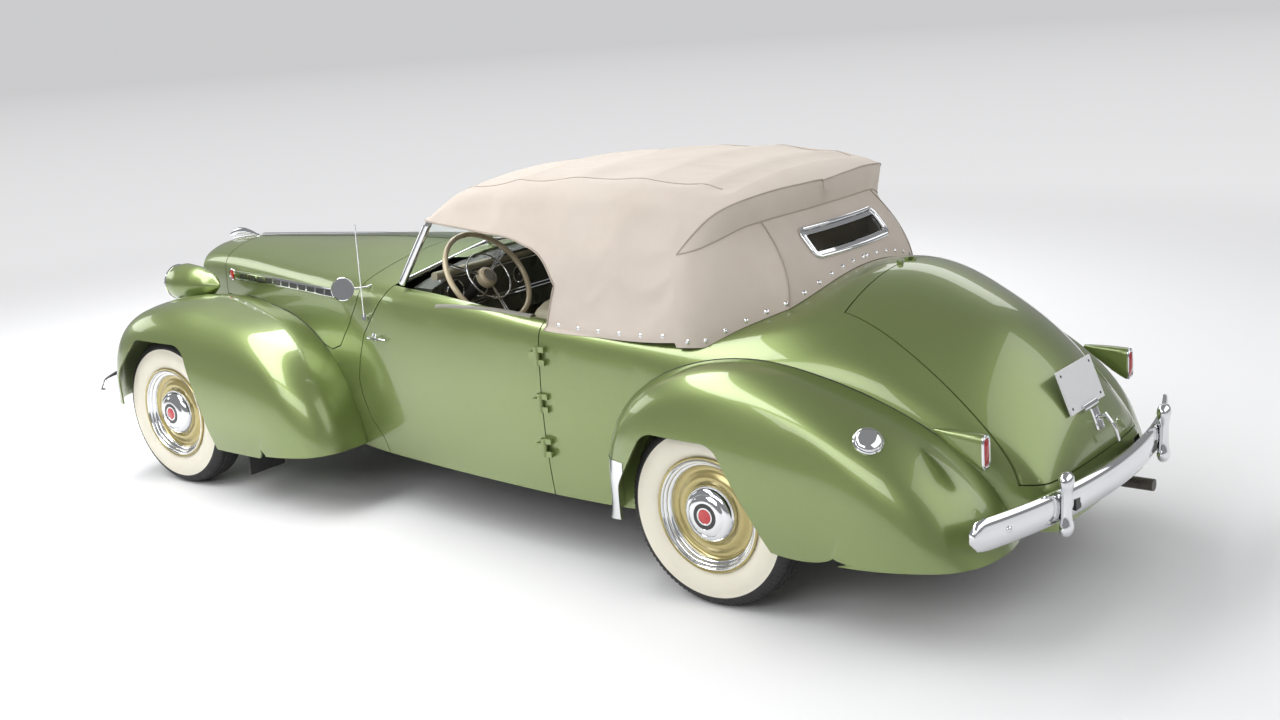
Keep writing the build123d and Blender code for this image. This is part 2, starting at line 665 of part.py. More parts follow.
def turned(profile, x, y, side):
    """Solid of revolution about an axle at a station; side is +1 on the left."""
    plane = Plane(origin=(at(x), y, axle_z), x_dir=(0, 0, 1), z_dir=(-1, 0, 0))
    sign = plane.to_local_coords(Vector(at(x), y + 1, axle_z)).Y * side
    with BuildPart() as solid:
        with BuildSketch(plane):
            with BuildLine():
                Polyline(*[(r, sign * out) for r, out in profile], close=True)
            make_face()
        revolve(axis=Axis((at(x), y, axle_z), (0, 1, 0)))
    return solid.part


corners = [("front_left", 3226, track_front / 2, 1), ("front_right", 3226, -track_front / 2, -1),
           ("rear_left", 0, track_rear / 2, 1), ("rear_right", 0, -track_rear / 2, -1)]
for name, x, y, side in corners:
    save(f"wheel_{name}", [turned(wheel_profile, x, y, side)])
    save(f"tyre_{name}", [turned(tyre_profile, x, y, side)])

# Floor pan with firewall, stepped up over the rear axle
rear_floor_z = 622.0
floor_sheet = 12.0
riser = 545.0
floor_plan = [(2200, 500), (1700, 575), (1200, 640), (door_rear, 665)]
floor_core = lofted([body_face(r, tub_depth + seat_gap, 30) for r in body_rows[6:-1]])
front_floor = common(block(2200, door_rear - 3, -wide, wide, floor_z, floor_z + floor_sheet),
                     plan_slab(floor_plan + [(x, -y) for x, y in reversed(floor_plan)], 0, 900))
rear_floor = joined(block(door_rear - 3, riser, -wide, wide, floor_z, floor_z + floor_sheet),
                    block(riser, riser + floor_sheet, -wide, wide, floor_z, rear_floor_z + floor_sheet),
                    block(riser + floor_sheet, -880, -wide, wide, rear_floor_z, rear_floor_z + floor_sheet))
floor = joined(front_floor, common(rear_floor, floor_core))
firewall_core = lofted([body_face(r, sheet + 7, 0) for r in body_rows])
floor = joined(floor, common(block(2190, 2200, -wide, wide, floor_z, 1090), firewall_core),
               common(block(2190, 2200, -wide, wide, floor_z, 690), lining))
drum_space = wheel_drum(house_radius + sheet + seat_gap, house_wall - sheet - seat_gap, wide)
floor = cut(floor, drum_space, mirror(drum_space, about=Plane.XZ))
save("floor_pan", [floor])

# Engine with its gearbox, as one plain block, and the radiator behind the grille
engine = joined(block(2320, 3130, -220, 220, 415 + seat_gap, 960), block(1820, 2321, -105, 105, 338, 424))
save("engine", [engine])
save("radiator", [common(lining, block(3540, 3600, -wide, wide, 480, 1500))])
slats = []
slat_pitch = 24.0
for i in range(-8, 9):
    slats.append(block(3660, 3684, i * slat_pitch - 5, i * slat_pitch + 5, 445, 1100))
slats.append(block(3656, 3668, -wide, wide, 470, 490))
slats.append(block(3656, 3668, -wide, wide, 930, 950))
save("grille", [common(joined(*slats), lining)])

# Exhaust pipe with its silencer, and the fuel tank
pipe_z = 262.0
pipe_route = [(2250, -250), (-560, -250), (-800, -450), (-1190, -450)]
with BuildPart() as exhaust:
    with BuildLine():
        FilletPolyline(*[(at(x), y, pipe_z) for x, y in pipe_route], radius=90)
    with BuildSketch(Plane(origin=(at(2250), -250, pipe_z), z_dir=(-1, 0, 0))):
        Circle(24)
    sweep()
    add(rod((1250, -250, pipe_z), (650, -250, pipe_z), 60))
    add(rod((1300, -250, pipe_z), (1300, -250, 412 - seat_gap), 8))
    add(rod((2230, -250, pipe_z), (2230, -250, 305 - seat_gap), 8))
save("exhaust", [exhaust.part])
tank_half = rail_half - rail_width - seat_gap
save("fuel_tank", [block(-980, -560, -tank_half, tank_half, 380, 560)])

# Bumpers: curved bars with upright guards
def bumper(end_x, mid_x, half, z0, z1, thick, towards):
    """Bar bowed from one side of the car to the other."""
    with BuildPart() as bar:
        with BuildSketch(Plane.XY.offset(z0)):
            with BuildLine():
                ThreePointArc((at(end_x), half), (at(mid_x), 0), (at(end_x), -half))
                Line((at(end_x), -half), (at(end_x) - towards * thick, -half + 6))
                ThreePointArc((at(end_x) - towards * thick, -half + 6), (at(mid_x) - towards * thick, 0),
                              (at(end_x) - towards * thick, half - 6))
                Line((at(end_x) - towards * thick, half - 6), (at(end_x), half))
            make_face()
        extrude(amount=z1 - z0)
    return bar.part


nose_x = wheelbase / stretch + front_overhang / stretch
tail_x = -rear_overhang / stretch
front_bar = [bumper(3760, nose_x - 22, 880, 365, 480, 24, 1)]
front_bar += both_sides(block(nose_x - 92, nose_x, 290, 336, 330, 560))
front_bar += both_sides(block(3640 + seat_gap, nose_x - 40, 122, 172, 355, 395))
save("front_bumper", [joined(*front_bar)])
rear_bar = [bumper(-1090, tail_x + 26, 880, 405, 520, 24, -1)]
rear_bar += both_sides(block(tail_x, tail_x + 100, 434, 480, 352, 590))
rear_bar += both_sides(block(tail_x + 50, -1100 - seat_gap, 335, 385, 425, 470))
save("rear_bumper", [joined(*rear_bar)])

# Lamps: bullet headlamps beside the hood and wedge tail lamps on the fenders
lamp_y = 430.0
lamp_z = 915.0
lamp_profile = [(3640, 0), (3632, 60), (3600, 88), (3540, 98), (3440, 88), (3340, 52), (3270, 0)]
with BuildPart() as headlamp:
    with BuildSketch(Plane(origin=(0, lamp_y, lamp_z), x_dir=(1, 0, 0), z_dir=(0, -1, 0))):
        with BuildLine():
            Polyline(*[(at(x), r) for x, r in lamp_profile], close=True)
        make_face()
    revolve(axis=Axis((0, lamp_y, lamp_z), (1, 0, 0)))
lamp = cut(headlamp.part, front_skin, body_grown)
lamp = Part() + sorted(lamp.solids(), key=lambda v: v.volume)[-1]
save("headlamps", both_sides(lamp))
tail_lamp = side_slab([(-1016, 622), (-1008, 745), (-830, 742), (-870, 640)], 612, 668)
tail_lamp = cut(tail_lamp, rear_skin, body_grown)
tail_lamp = Part() + sorted(tail_lamp.solids(), key=lambda v: v.volume)[-1]
save("tail_lamps", both_sides(tail_lamp))

# Hood strip and ornament on the middle line
strip_line = [(shell_station + shut_gap / 2 - seat_gap, 1091), (3000, 1114), (2500, 1139),
              (2010 + seat_gap, 1150)]
strip_loop = [(x, z - 22) for x, z in strip_line] + [(x, z + 14) for x, z in reversed(strip_line)]
strip = side_slab(strip_loop, -9, 9)
lug_half = strip_half - seat_gap
strip = joined(strip, block(3340, 3400, -lug_half, lug_half, 1066, 1089),
               block(2030, 2090, -lug_half, lug_half, 1118, 1144))
save("hood_strip", [strip])
ornament = side_slab([(3715, 1078), (3660, 1118), (3560, 1128), (3470, 1100), (3480, 1040), (3690, 1040)],
                     -14, 14, 8)
save("hood_ornament", [cut(ornament, body_grown)])

# Cabin: dashboard, steering column and wheel, seats
column_foot = (2172, 380, 558.7)
hub_spot = (1455, 380, 1072)
column_run = hypot(column_foot[0] - hub_spot[0], column_foot[2] - hub_spot[2])
lean = ((hub_spot[0] - column_foot[0]) / column_run, (hub_spot[2] - column_foot[2]) / column_run)
column_head = (hub_spot[0] - lean[0] * (24 + seat_gap), 380, hub_spot[2] - lean[1] * (24 + seat_gap))
save("steering_column", [rod(column_foot, column_head, 26)])
wheel_plane = Plane(origin=(at(hub_spot[0]), hub_spot[1], hub_spot[2]), x_dir=(0, 1, 0),
                    z_dir=(lean[0], 0, lean[1]))
rim_r = 216.0
with BuildPart() as steering_wheel:
    with BuildSketch(wheel_plane.offset(-24)):
        Circle(46)
    extrude(amount=44)
    with Locations(wheel_plane):
        Torus(rim_r, 13)
    with BuildSketch(wheel_plane.offset(-10)):
        for turn in (90, 210, 330):
            with PolarLocations(0, 1, start_angle=turn):
                with Locations((rim_r / 2, 0)):
                    Rectangle(rim_r, 22)
    extrude(amount=12)
save("steering_wheel", [steering_wheel.part])
dash = common(lining, block(1590, 1700, -590, 590, 850, 1150))
dash = cut(dash, rod(column_foot, column_head, 26 + seat_gap))
dash = Part() + sorted(dash.solids(), key=lambda v: v.volume)[-1]
save("dashboard", [dash])


def cushion(x0, x1, half, z0, z1, soft):
    """Padded block across the cabin with rounded edges."""
    with BuildPart() as pad:
        with Locations((at((x0 + x1) / 2), 0, (z0 + z1) / 2)):
            Box(abs(x1 - x0) * stretch, 2 * half, z1 - z0)
        fillet(pad.edges(), soft)
    return pad.part


save("front_seat", [joined(cushion(905, 1430, 600, 560, 735, 40), cushion(900, 1040, 600, 600, 1035, 45),
                           block(930, 1380, -520, 520, floor_z + floor_sheet + seat_gap, 600))])
save("rear_seat", [joined(cushion(290, 720, 560, rear_floor_z + floor_sheet + seat_gap, 790, 40),
                          cushion(180, 320, 560, rear_floor_z + floor_sheet + seat_gap, 1010, 45))])

# Small fittings: mirror, aerial, mud flaps and the blank plate on the lid
save("side_mirror", [cut(joined(rod((1988, 742, 1050), (2004, 742, 1050), 54),
                                rod((1990, 742, 1050), (1935, 600, 1046), 7)), body_grown)])
save("aerial", [cut(joined(rod((1956, 640, 905), (1956, 668, 912), 16),
                           rod((1956, 668, 912), (1925, 690, 1330), 3)), body_grown)])
flap = block(2600, 2610, 690, 894.5, 150, 300)
save("mud_flaps", both_sides(flap))
plate = cut(side_slab([(-1112, 690), (-1052, 842), (-1046, 840), (-1106, 688)], -150, 150),
            lofted([body_face(r, -skin_gap, 60) for r in body_rows]))
stalks = [cut(rod((-1082, y, 760), (-1000, y, 760), 9), body_grown) for y in (-70, 70)]
save("number_plate", [joined(plate, *stalks)])
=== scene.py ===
import json
from math import cos, hypot, pi, radians, sin, sqrt

import bmesh
import bpy
import numpy as np
from mathutils import Matrix, Vector, noise
from mathutils.bvhtree import BVHTree


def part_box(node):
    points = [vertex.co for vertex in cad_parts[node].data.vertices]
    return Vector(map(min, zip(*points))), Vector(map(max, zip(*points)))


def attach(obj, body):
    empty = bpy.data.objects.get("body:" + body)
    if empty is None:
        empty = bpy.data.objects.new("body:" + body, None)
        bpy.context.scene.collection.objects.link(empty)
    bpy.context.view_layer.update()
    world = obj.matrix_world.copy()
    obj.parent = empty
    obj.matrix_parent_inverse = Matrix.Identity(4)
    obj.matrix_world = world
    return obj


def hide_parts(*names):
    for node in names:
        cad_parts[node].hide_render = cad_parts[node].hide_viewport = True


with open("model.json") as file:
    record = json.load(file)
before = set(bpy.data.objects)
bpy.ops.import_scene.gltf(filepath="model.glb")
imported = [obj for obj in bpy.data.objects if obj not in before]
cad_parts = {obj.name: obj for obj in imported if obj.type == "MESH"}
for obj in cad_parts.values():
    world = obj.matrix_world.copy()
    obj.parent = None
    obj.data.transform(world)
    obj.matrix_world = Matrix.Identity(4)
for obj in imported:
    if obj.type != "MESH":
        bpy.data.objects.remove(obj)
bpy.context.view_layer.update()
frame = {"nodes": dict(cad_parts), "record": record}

# The studio: a seamless pale floor under a wide overhead bank, with soft banks at both sides and both ends.
# The camera stands off the left rear corner, a little above the roof.
wheel_low, wheel_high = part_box("wheel_rear_left")
rear_axle = (wheel_low.x + wheel_high.x) / 2


def spot(x, y, z):
    """Place in the frame of a point given in millimetres, its station measured forward from the rear axle."""
    return Vector((rear_axle + x / 1000, y / 1000, z / 1000))


camera_place = spot(-3301.6, 5313.7, 2342.5)
camera_yaw = -0.89656
camera_pitch = -0.242937
camera_roll = -0.069
camera_lens = 44.774
ahead = Vector((cos(camera_yaw) * cos(camera_pitch), sin(camera_yaw) * cos(camera_pitch), sin(camera_pitch)))
level = Vector((sin(camera_yaw), -cos(camera_yaw), 0))
upward = level.cross(ahead)
across = cos(camera_roll) * level + sin(camera_roll) * upward
upright = cos(camera_roll) * upward - sin(camera_roll) * level
camera = bpy.data.objects.new("camera", bpy.data.cameras.new("camera"))
camera.data.lens = camera_lens
camera.data.sensor_width = 36.0
camera.data.clip_end = 200.0
camera.matrix_world = Matrix((across, upright, -ahead)).transposed().to_4x4()
camera.location = camera_place
bpy.context.scene.collection.objects.link(camera)
bpy.context.scene.camera = camera
bpy.context.scene.view_settings.view_transform = "Standard"

near_glow = (0.80, 0.80, 0.81, 1)
backdrop_color = (0.60, 0.60, 0.61, 1)
floor_color = (0.86, 0.86, 0.87, 1)
floor_size = 60.0
floor_fade = (4.0, 10.0)
glow_fade = (9.0, 42.0)
floor_mesh = bpy.data.meshes.new("studio_floor")
corners = [(-floor_size, -floor_size, 0), (floor_size, -floor_size, 0), (floor_size, floor_size, 0),
           (-floor_size, floor_size, 0)]
floor_mesh.from_pydata(corners, [], [(0, 1, 2, 3)])
floor = bpy.data.objects.new("studio_floor", floor_mesh)
bpy.context.scene.collection.objects.link(floor)


def wire(tree, *joins):
    """Joins sockets of a node tree, each given as source, its output, target and its input."""
    for source, output, target, entry in joins:
        tree.links.new(source.outputs[output], target.inputs[entry])


floor_mat = bpy.data.materials.new("studio_floor")
floor_mat.use_nodes = True
nodes = floor_mat.node_tree.nodes
matte = nodes["Principled BSDF"]
matte.inputs["Base Color"].default_value = floor_color
matte.inputs["Roughness"].default_value = 0.55
matte.inputs["Specular IOR Level"].default_value = 0.15
glow = nodes.new("ShaderNodeEmission")
glow_tone = nodes.new("ShaderNodeValToRGB")
glow_tone.color_ramp.elements[0].color = near_glow
glow_tone.color_ramp.elements[1].color = backdrop_color
glow_far = nodes.new("ShaderNodeMapRange")
glow_far.inputs["From Min"].default_value = glow_fade[0]
glow_far.inputs["From Max"].default_value = glow_fade[1]
where = nodes.new("ShaderNodeTexCoord")
reach = nodes.new("ShaderNodeVectorMath")
reach.operation = "LENGTH"
fade = nodes.new("ShaderNodeMapRange")
fade.interpolation_type = "SMOOTHSTEP"
fade.inputs["From Min"].default_value = floor_fade[0]
fade.inputs["From Max"].default_value = floor_fade[1]
sight = nodes.new("ShaderNodeLightPath")
seen = nodes.new("ShaderNodeMath")
seen.operation = "MULTIPLY"
mix = nodes.new("ShaderNodeMixShader")
wire(floor_mat.node_tree, (where, "Object", reach, 0), (reach, "Value", fade, "Value"),
     (reach, "Value", glow_far, "Value"), (glow_far, "Result", glow_tone, "Fac"),
     (glow_tone, "Color", glow, "Color"), (fade, "Result", seen, 0), (sight, "Is Camera Ray", seen, 1),
     (seen, "Value", mix, "Fac"), (matte, "BSDF", mix, 1), (glow, "Emission", mix, 2))
wire(floor_mat.node_tree, (mix, "Shader", nodes["Material Output"], "Surface"))
floor_mesh.materials.append(floor_mat)

world = bpy.data.worlds.new("studio_air")
bpy.context.scene.world = world
world.use_nodes = True
nodes = world.node_tree.nodes
air = nodes["Background"]
air.inputs["Color"].default_value = (0.47, 0.475, 0.48, 1)
air.inputs["Strength"].default_value = 0.62
view_air = nodes.new("ShaderNodeBackground")
view_air.inputs["Color"].default_value = backdrop_color
sight = nodes.new("ShaderNodeLightPath")
mix = nodes.new("ShaderNodeMixShader")
wire(world.node_tree, (sight, "Is Camera Ray", mix, "Fac"), (air, "Background", mix, 1),
     (view_air, "Background", mix, 2))
wire(world.node_tree, (mix, "Shader", nodes["World Output"], "Surface"))

# Columns: name, place, what it points at, width, height, watts
banks = [
    ("overhead_bank", (2.6, 0.4, 5.4), (2.2, 0.3, 0.0), 13.0, 2.6, 700),
    ("left_bank", (-1.5, 8.0, 4.6), (-0.3, 0.3, 0.6), 7.0, 2.4, 200),
    ("right_bank", (1.5, -8.0, 5.2), (0.0, 0.0, 0.6), 7.0, 2.0, 70),
    ("nose_bank", (9.0, 2.0, 3.4), (1.0, 0.0, 0.7), 4.0, 2.4, 70),
    ("rear_bank", (-8.0, -2.0, 5.0), (-1.4, 0.0, 1.0), 12.0, 6.0, 330),
]
for name, place, aim, width, height, watts in banks:
    light = bpy.data.lights.new(name, "AREA")
    light.shape = "RECTANGLE"
    light.size = width
    light.size_y = height
    light.energy = watts
    lamp = bpy.data.objects.new(name, light)
    lamp.location = place
    lamp.rotation_euler = (Vector(aim) - Vector(place)).to_track_quat("-Z", "Y").to_euler()
    bpy.context.scene.collection.objects.link(lamp)


# Frame, axles, springs, arms, tank and exhaust: pressed and forged steel in black chassis enamel.
# They are riveted and bolted together under the floor, with a film of road dust on the flat tops.
def shader_group(name, inputs, outputs):
    """Empty shader node group with named sockets, and its input and output nodes."""
    tree = bpy.data.node_groups.new(name, "ShaderNodeTree")
    for label, kind, value in inputs:
        tree.interface.new_socket(name=label, in_out="INPUT", socket_type=kind).default_value = value
    for label, kind in outputs:
        tree.interface.new_socket(name=label, in_out="OUTPUT", socket_type=kind)
    return tree, tree.nodes.new("NodeGroupInput"), tree.nodes.new("NodeGroupOutput")


mottle, given, put = shader_group(
    "mottle",
    [("Color A", "NodeSocketColor", (0.5, 0.5, 0.5, 1)), ("Color B", "NodeSocketColor", (0.4, 0.4, 0.4, 1)),
     ("Scale", "NodeSocketFloat", 20.0), ("Rough low", "NodeSocketFloat", 0.3),
     ("Rough high", "NodeSocketFloat", 0.5), ("Depth", "NodeSocketFloat", 0.1)],
    [("Color", "NodeSocketColor"), ("Roughness", "NodeSocketFloat"), ("Normal", "NodeSocketVector")])
where = mottle.nodes.new("ShaderNodeTexCoord")
patches = mottle.nodes.new("ShaderNodeTexNoise")
patches.inputs["Detail"].default_value = 6.0
patches.inputs["Roughness"].default_value = 0.62
tint = mottle.nodes.new("ShaderNodeMix")
tint.data_type = "RGBA"
gloss = mottle.nodes.new("ShaderNodeMapRange")
gloss.inputs["From Min"].default_value = 0.3
gloss.inputs["From Max"].default_value = 0.7
ripple = mottle.nodes.new("ShaderNodeBump")
ripple.inputs["Distance"].default_value = 0.002
wire(mottle, (where, "Object", patches, "Vector"), (given, "Scale", patches, "Scale"),
     (patches, "Fac", tint, "Factor"), (given, "Color A", tint, "A"), (given, "Color B", tint, "B"),
     (tint, "Result", put, "Color"), (patches, "Fac", gloss, "Value"),
     (given, "Rough low", gloss, "To Min"), (given, "Rough high", gloss, "To Max"),
     (gloss, "Result", put, "Roughness"), (patches, "Fac", ripple, "Height"),
     (given, "Depth", ripple, "Strength"), (ripple, "Normal", put, "Normal"))


def mottled(name, color_a, color_b, scale, rough_low, rough_high, depth=0.05, metallic=0.0, coat=0.0):
    """Material whose colour, gloss and surface vary gently over the piece."""
    mat = bpy.data.materials.new(name)
    mat.use_nodes = True
    tree = mat.node_tree
    shader = tree.nodes["Principled BSDF"]
    shader.inputs["Metallic"].default_value = metallic
    shader.inputs["Coat Weight"].default_value = coat
    shader.inputs["Coat Roughness"].default_value = 0.05
    effect = tree.nodes.new("ShaderNodeGroup")
    effect.node_tree = mottle
    effect.inputs["Color A"].default_value = (*color_a, 1)
    effect.inputs["Color B"].default_value = (*color_b, 1)
    effect.inputs["Scale"].default_value = scale
    effect.inputs["Rough low"].default_value = rough_low
    effect.inputs["Rough high"].default_value = rough_high
    effect.inputs["Depth"].default_value = depth
    wire(tree, (effect, "Color", shader, "Base Color"), (effect, "Roughness", shader, "Roughness"),
         (effect, "Normal", shader, "Normal"))
    return mat


def dress(node, *materials):
    """Gives a carried-over solid its finish."""
    mesh = frame["nodes"][node].data
    mesh.materials.clear()
    for mat in materials:
        mesh.materials.append(mat)


chassis_black = mottled("chassis_black", (0.012, 0.012, 0.013), (0.03, 0.028, 0.025), 9.0, 0.32, 0.6, 0.1)
pipe_steel = mottled("pipe_steel", (0.20, 0.19, 0.17), (0.09, 0.075, 0.06), 14.0, 0.4, 0.65, 0.2,
                     metallic=0.7)
engine_gray = mottled("engine_gray", (0.14, 0.16, 0.14), (0.07, 0.075, 0.065), 12.0, 0.45, 0.7, 0.25)
floor_black = mottled("floor_black", (0.022, 0.021, 0.02), (0.04, 0.037, 0.032), 6.0, 0.6, 0.85, 0.2)
for node in ("chassis_frame", "rear_axle", "rear_springs", "front_arms", "knuckle_left", "knuckle_right",
             "fuel_tank", "steering_column", "radiator"):
    dress(node, chassis_black)
dress("exhaust", pipe_steel)
dress("engine", engine_gray)
dress("floor_pan", floor_black)
rubber_black = mottled("rubber_black", (0.016, 0.016, 0.017), (0.028, 0.027, 0.026), 30.0, 0.55, 0.8, 0.2)
dress("mud_flaps", rubber_black)


# Tyres: black cord tyres with a wide cream sidewall and a ribbed road tread.
# The cream rubber is vulcanised into the outer wall; the tread is moulded, notched at its shoulders.
def mesh_of(name, points, faces, crease=None, weld=None):
    """Smooth-shaded mesh with outward faces; edges sharper than crease degrees stay crisp."""
    bm = bmesh.new()
    verts = [bm.verts.new(p) for p in points]
    for face in faces:
        corners = [verts[i] for i in dict.fromkeys(face)]
        if len(corners) > 2:
            try:
                bm.faces.new(corners)
            except ValueError:
                continue
    if weld:
        bmesh.ops.remove_doubles(bm, verts=bm.verts, dist=weld)
    bmesh.ops.recalc_face_normals(bm, faces=bm.faces)
    mesh = bpy.data.meshes.new(name)
    bm.to_mesh(mesh)
    bm.free()
    mesh.shade_smooth()
    if crease is not None:
        mesh.set_sharp_from_angle(angle=radians(crease))
    return mesh


def piece(name, mesh, materials, body):
    """Places a finished mesh in the scene and lets it ride on a body."""
    obj = bpy.data.objects.new(name, mesh)
    bpy.context.scene.collection.objects.link(obj)
    for mat in materials if isinstance(materials, (list, tuple)) else [materials]:
        mesh.materials.append(mat)
    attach(obj, body)
    return obj


def grid_faces(rows, columns, ring=False):
    """Quads between neighbouring rows of points; a ring joins the last row to the first."""
    faces = []
    for i in range(rows if ring else rows - 1):
        k = (i + 1) % rows
        for j in range(columns - 1):
            faces.append((i * columns + j, i * columns + j + 1, k * columns + j + 1, k * columns + j))
    return faces


sidewall_cream = mottled("sidewall_cream", (0.80, 0.77, 0.66), (0.72, 0.68, 0.56), 7.0, 0.42, 0.6, 0.04)
sidewall_edge = 0.320
tread_radius = 0.362
tyre_steps = 300
notch_every = 3
# Columns: radius, distance out from the wheel's middle
wall_profile = [(0.2085, 0.060), (0.222, 0.0735), (0.238, 0.0815), (0.262, 0.0885), (0.288, 0.0890),
                (0.308, 0.0865), (sidewall_edge, 0.0830), (0.3215, 0.0836), (0.332, 0.0800), (0.343, 0.0735),
                (0.351, 0.0660), (0.3555, 0.0590)]
tread_profile = [(0.358, 0.054), (0.3585, 0.040), (0.352, 0.0385), (0.352, 0.0345), (0.3605, 0.033),
                 (0.3615, 0.0145), (0.354, 0.013), (0.354, 0.009), (tread_radius, 0.0075)]
half_profile = wall_profile + tread_profile
tyre_profile = half_profile + [(r, -y) for r, y in reversed(half_profile)]
notched = range(len(wall_profile) - 4, len(wall_profile) + 2)
corners = [("front_left", 1), ("front_right", -1), ("rear_left", 1), ("rear_right", -1)]
for corner, side in corners:
    low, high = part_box(f"tyre_{corner}")
    hub = (low + high) / 2
    points = []
    last = len(tyre_profile) - 1
    for step in range(tyre_steps):
        turn = 2 * pi * step / tyre_steps
        zigzag = 0.0018 * (1 if (step // 3) % 2 else -1)
        for index, (r, out) in enumerate(tyre_profile):
            if step % notch_every == 0 and (index in notched or last - index in notched):
                r = r - 0.0035
            wave = zigzag if r > 0.351 and abs(out) < 0.045 else 0.0
            points.append((hub.x + r * sin(turn), hub.y + side * (out + wave), hub.z + r * cos(turn)))
    faces = grid_faces(tyre_steps, len(tyre_profile), ring=True)
    mesh = mesh_of(f"tyre_{corner}_rubber", points, faces, crease=50)
    tyre = piece(f"tyre_{corner}_rubber", mesh, [rubber_black, sidewall_cream], f"wheel_{corner}")
    for face in mesh.polygons:
        reach = hypot(face.center.x - hub.x, face.center.z - hub.z)
        if reach < sidewall_edge and (face.center.y - hub.y) * side > 0.05:
            face.material_index = 1
    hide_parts(f"tyre_{corner}")

# Wheels: pressed steel painted gold, with a stepped chrome trim ring snapped into the rim.
# A stepped chrome cap with a black band and a plain red boss covers the hub.
wheel_gold = mottled("wheel_gold", (0.50, 0.42, 0.17), (0.40, 0.33, 0.12), 5.0, 0.16, 0.26, 0.02,
                     metallic=0.55, coat=0.8)
chrome = mottled("chrome", (0.80, 0.81, 0.82), (0.72, 0.73, 0.75), 3.0, 0.03, 0.07, 0.01, metallic=1.0)
# Black paint for the hubcap band and the plate screws; the same black is painted shade in the hood louver
# slots.
cap_black = mottled("cap_black", (0.010, 0.010, 0.011), (0.02, 0.02, 0.02), 40.0, 0.25, 0.4, 0.05, coat=0.5)
boss_red = mottled("boss_red", (0.56, 0.015, 0.02), (0.42, 0.01, 0.014), 30.0, 0.12, 0.2, 0.02, coat=1.0)
wheel_steps = 128
# Columns: finish, then (radius, distance out) points of that stretch, from the rim's lip to the boss
wheel_bands = [
    (0, [(0.2085, 0.058), (0.2235, 0.074), (0.2240, 0.0835), (0.2205, 0.0862), (0.2150, 0.0842)]),
    (1, [(0.2146, 0.0826), (0.2100, 0.0838), (0.2058, 0.0800), (0.2046, 0.0745), (0.1996, 0.0732),
         (0.1960, 0.0690), (0.1946, 0.0628), (0.1890, 0.0612), (0.1846, 0.0560), (0.1822, 0.0490)]),
    (0, [(0.1815, 0.0470), (0.1730, 0.0400), (0.1620, 0.0392), (0.1520, 0.0445), (0.1420, 0.0515),
         (0.1300, 0.0540), (0.1200, 0.0505), (0.1105, 0.0440)]),
    (1, [(0.1100, 0.0450), (0.1112, 0.0520), (0.1085, 0.0660), (0.1000, 0.0790), (0.0900, 0.0868),
         (0.0815, 0.0892), (0.0800, 0.0876), (0.0786, 0.0880), (0.0735, 0.0925), (0.0650, 0.0962),
         (0.0560, 0.0980), (0.0506, 0.0984)]),
    (2, [(0.0500, 0.0976), (0.0345, 0.0980)]),
    (1, [(0.0338, 0.0992), (0.0285, 0.0994)]),
    (3, [(0.0278, 0.0984), (0.0180, 0.1000), (0.0080, 0.1012), (0.0, 0.1014)]),
]
wheel_profile = [p for finish, band in wheel_bands for p in band]
band_finish = [finish for finish, band in wheel_bands for p in band]
back_profile = [(0.0, 0.030), (0.10, 0.030), (0.150, 0.024), (0.196, 0.030), (0.204, -0.070),
                (0.2085, -0.072)]
for corner, side in corners:
    low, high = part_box(f"tyre_{corner}")
    hub = (low + high) / 2
    ring = wheel_profile + back_profile
    finish_of = band_finish + [0] * len(back_profile)
    points = []
    for step in range(wheel_steps):
        turn = 2 * pi * step / wheel_steps
        for r, out in ring:
            points.append((hub.x + r * sin(turn), hub.y + side * out, hub.z + r * cos(turn)))
    faces = []
    finishes = []
    closed = len(ring)
    for step in range(wheel_steps):
        after = (step + 1) % wheel_steps
        for j in range(closed):
            k = (j + 1) % closed
            faces.append((step * closed + j, step * closed + k, after * closed + k, after * closed + j))
            finishes.append(finish_of[min(j, k) if k else j])
    mesh = bpy.data.meshes.new(f"wheel_{corner}_steel")
    mesh.from_pydata(points, [], faces)
    mesh.polygons.foreach_set("material_index", finishes)
    bm = bmesh.new()
    bm.from_mesh(mesh)
    bmesh.ops.remove_doubles(bm, verts=bm.verts, dist=1e-5)
    bmesh.ops.recalc_face_normals(bm, faces=bm.faces)
    bm.to_mesh(mesh)
    bm.free()
    mesh.shade_smooth()
    mesh.set_sharp_from_angle(angle=radians(48))
    wheel = piece(f"wheel_{corner}_steel", mesh, [wheel_gold, chrome, cap_black, boss_red], f"wheel_{corner}")
    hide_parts(f"wheel_{corner}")


# Body panels: hood, cowl, doors, tub, lid, fenders and lamp pods, pressed steel in metallic sage lacquer.
# Each panel is one skin whose shading follows the pressed curve; the cabin sides are trimmed in hide.
flake, given, put = shader_group(
    "metal_flake",
    [("Lacquer", "NodeSocketColor", (0.3, 0.35, 0.15, 1)), ("Flake", "NodeSocketColor", (0.5, 0.5, 0.3, 1)),
     ("Grain", "NodeSocketFloat", 1400.0), ("Spread", "NodeSocketFloat", 0.25)],
    [("Color", "NodeSocketColor"), ("Roughness", "NodeSocketFloat")])
where = flake.nodes.new("ShaderNodeTexCoord")
chips = flake.nodes.new("ShaderNodeTexVoronoi")
drift = flake.nodes.new("ShaderNodeTexNoise")
drift.inputs["Scale"].default_value = 2.2
share = flake.nodes.new("ShaderNodeMath")
share.operation = "MULTIPLY"
tint = flake.nodes.new("ShaderNodeMix")
tint.data_type = "RGBA"
gloss = flake.nodes.new("ShaderNodeMapRange")
gloss.inputs["To Min"].default_value = 0.30
gloss.inputs["To Max"].default_value = 0.38
wire(flake, (where, "Object", chips, "Vector"), (where, "Object", drift, "Vector"),
     (given, "Grain", chips, "Scale"), (chips, "Color", share, 0), (given, "Spread", share, 1),
     (share, "Value", tint, "Factor"), (given, "Lacquer", tint, "A"), (given, "Flake", tint, "B"),
     (tint, "Result", put, "Color"), (drift, "Fac", gloss, "Value"), (gloss, "Result", put, "Roughness"))

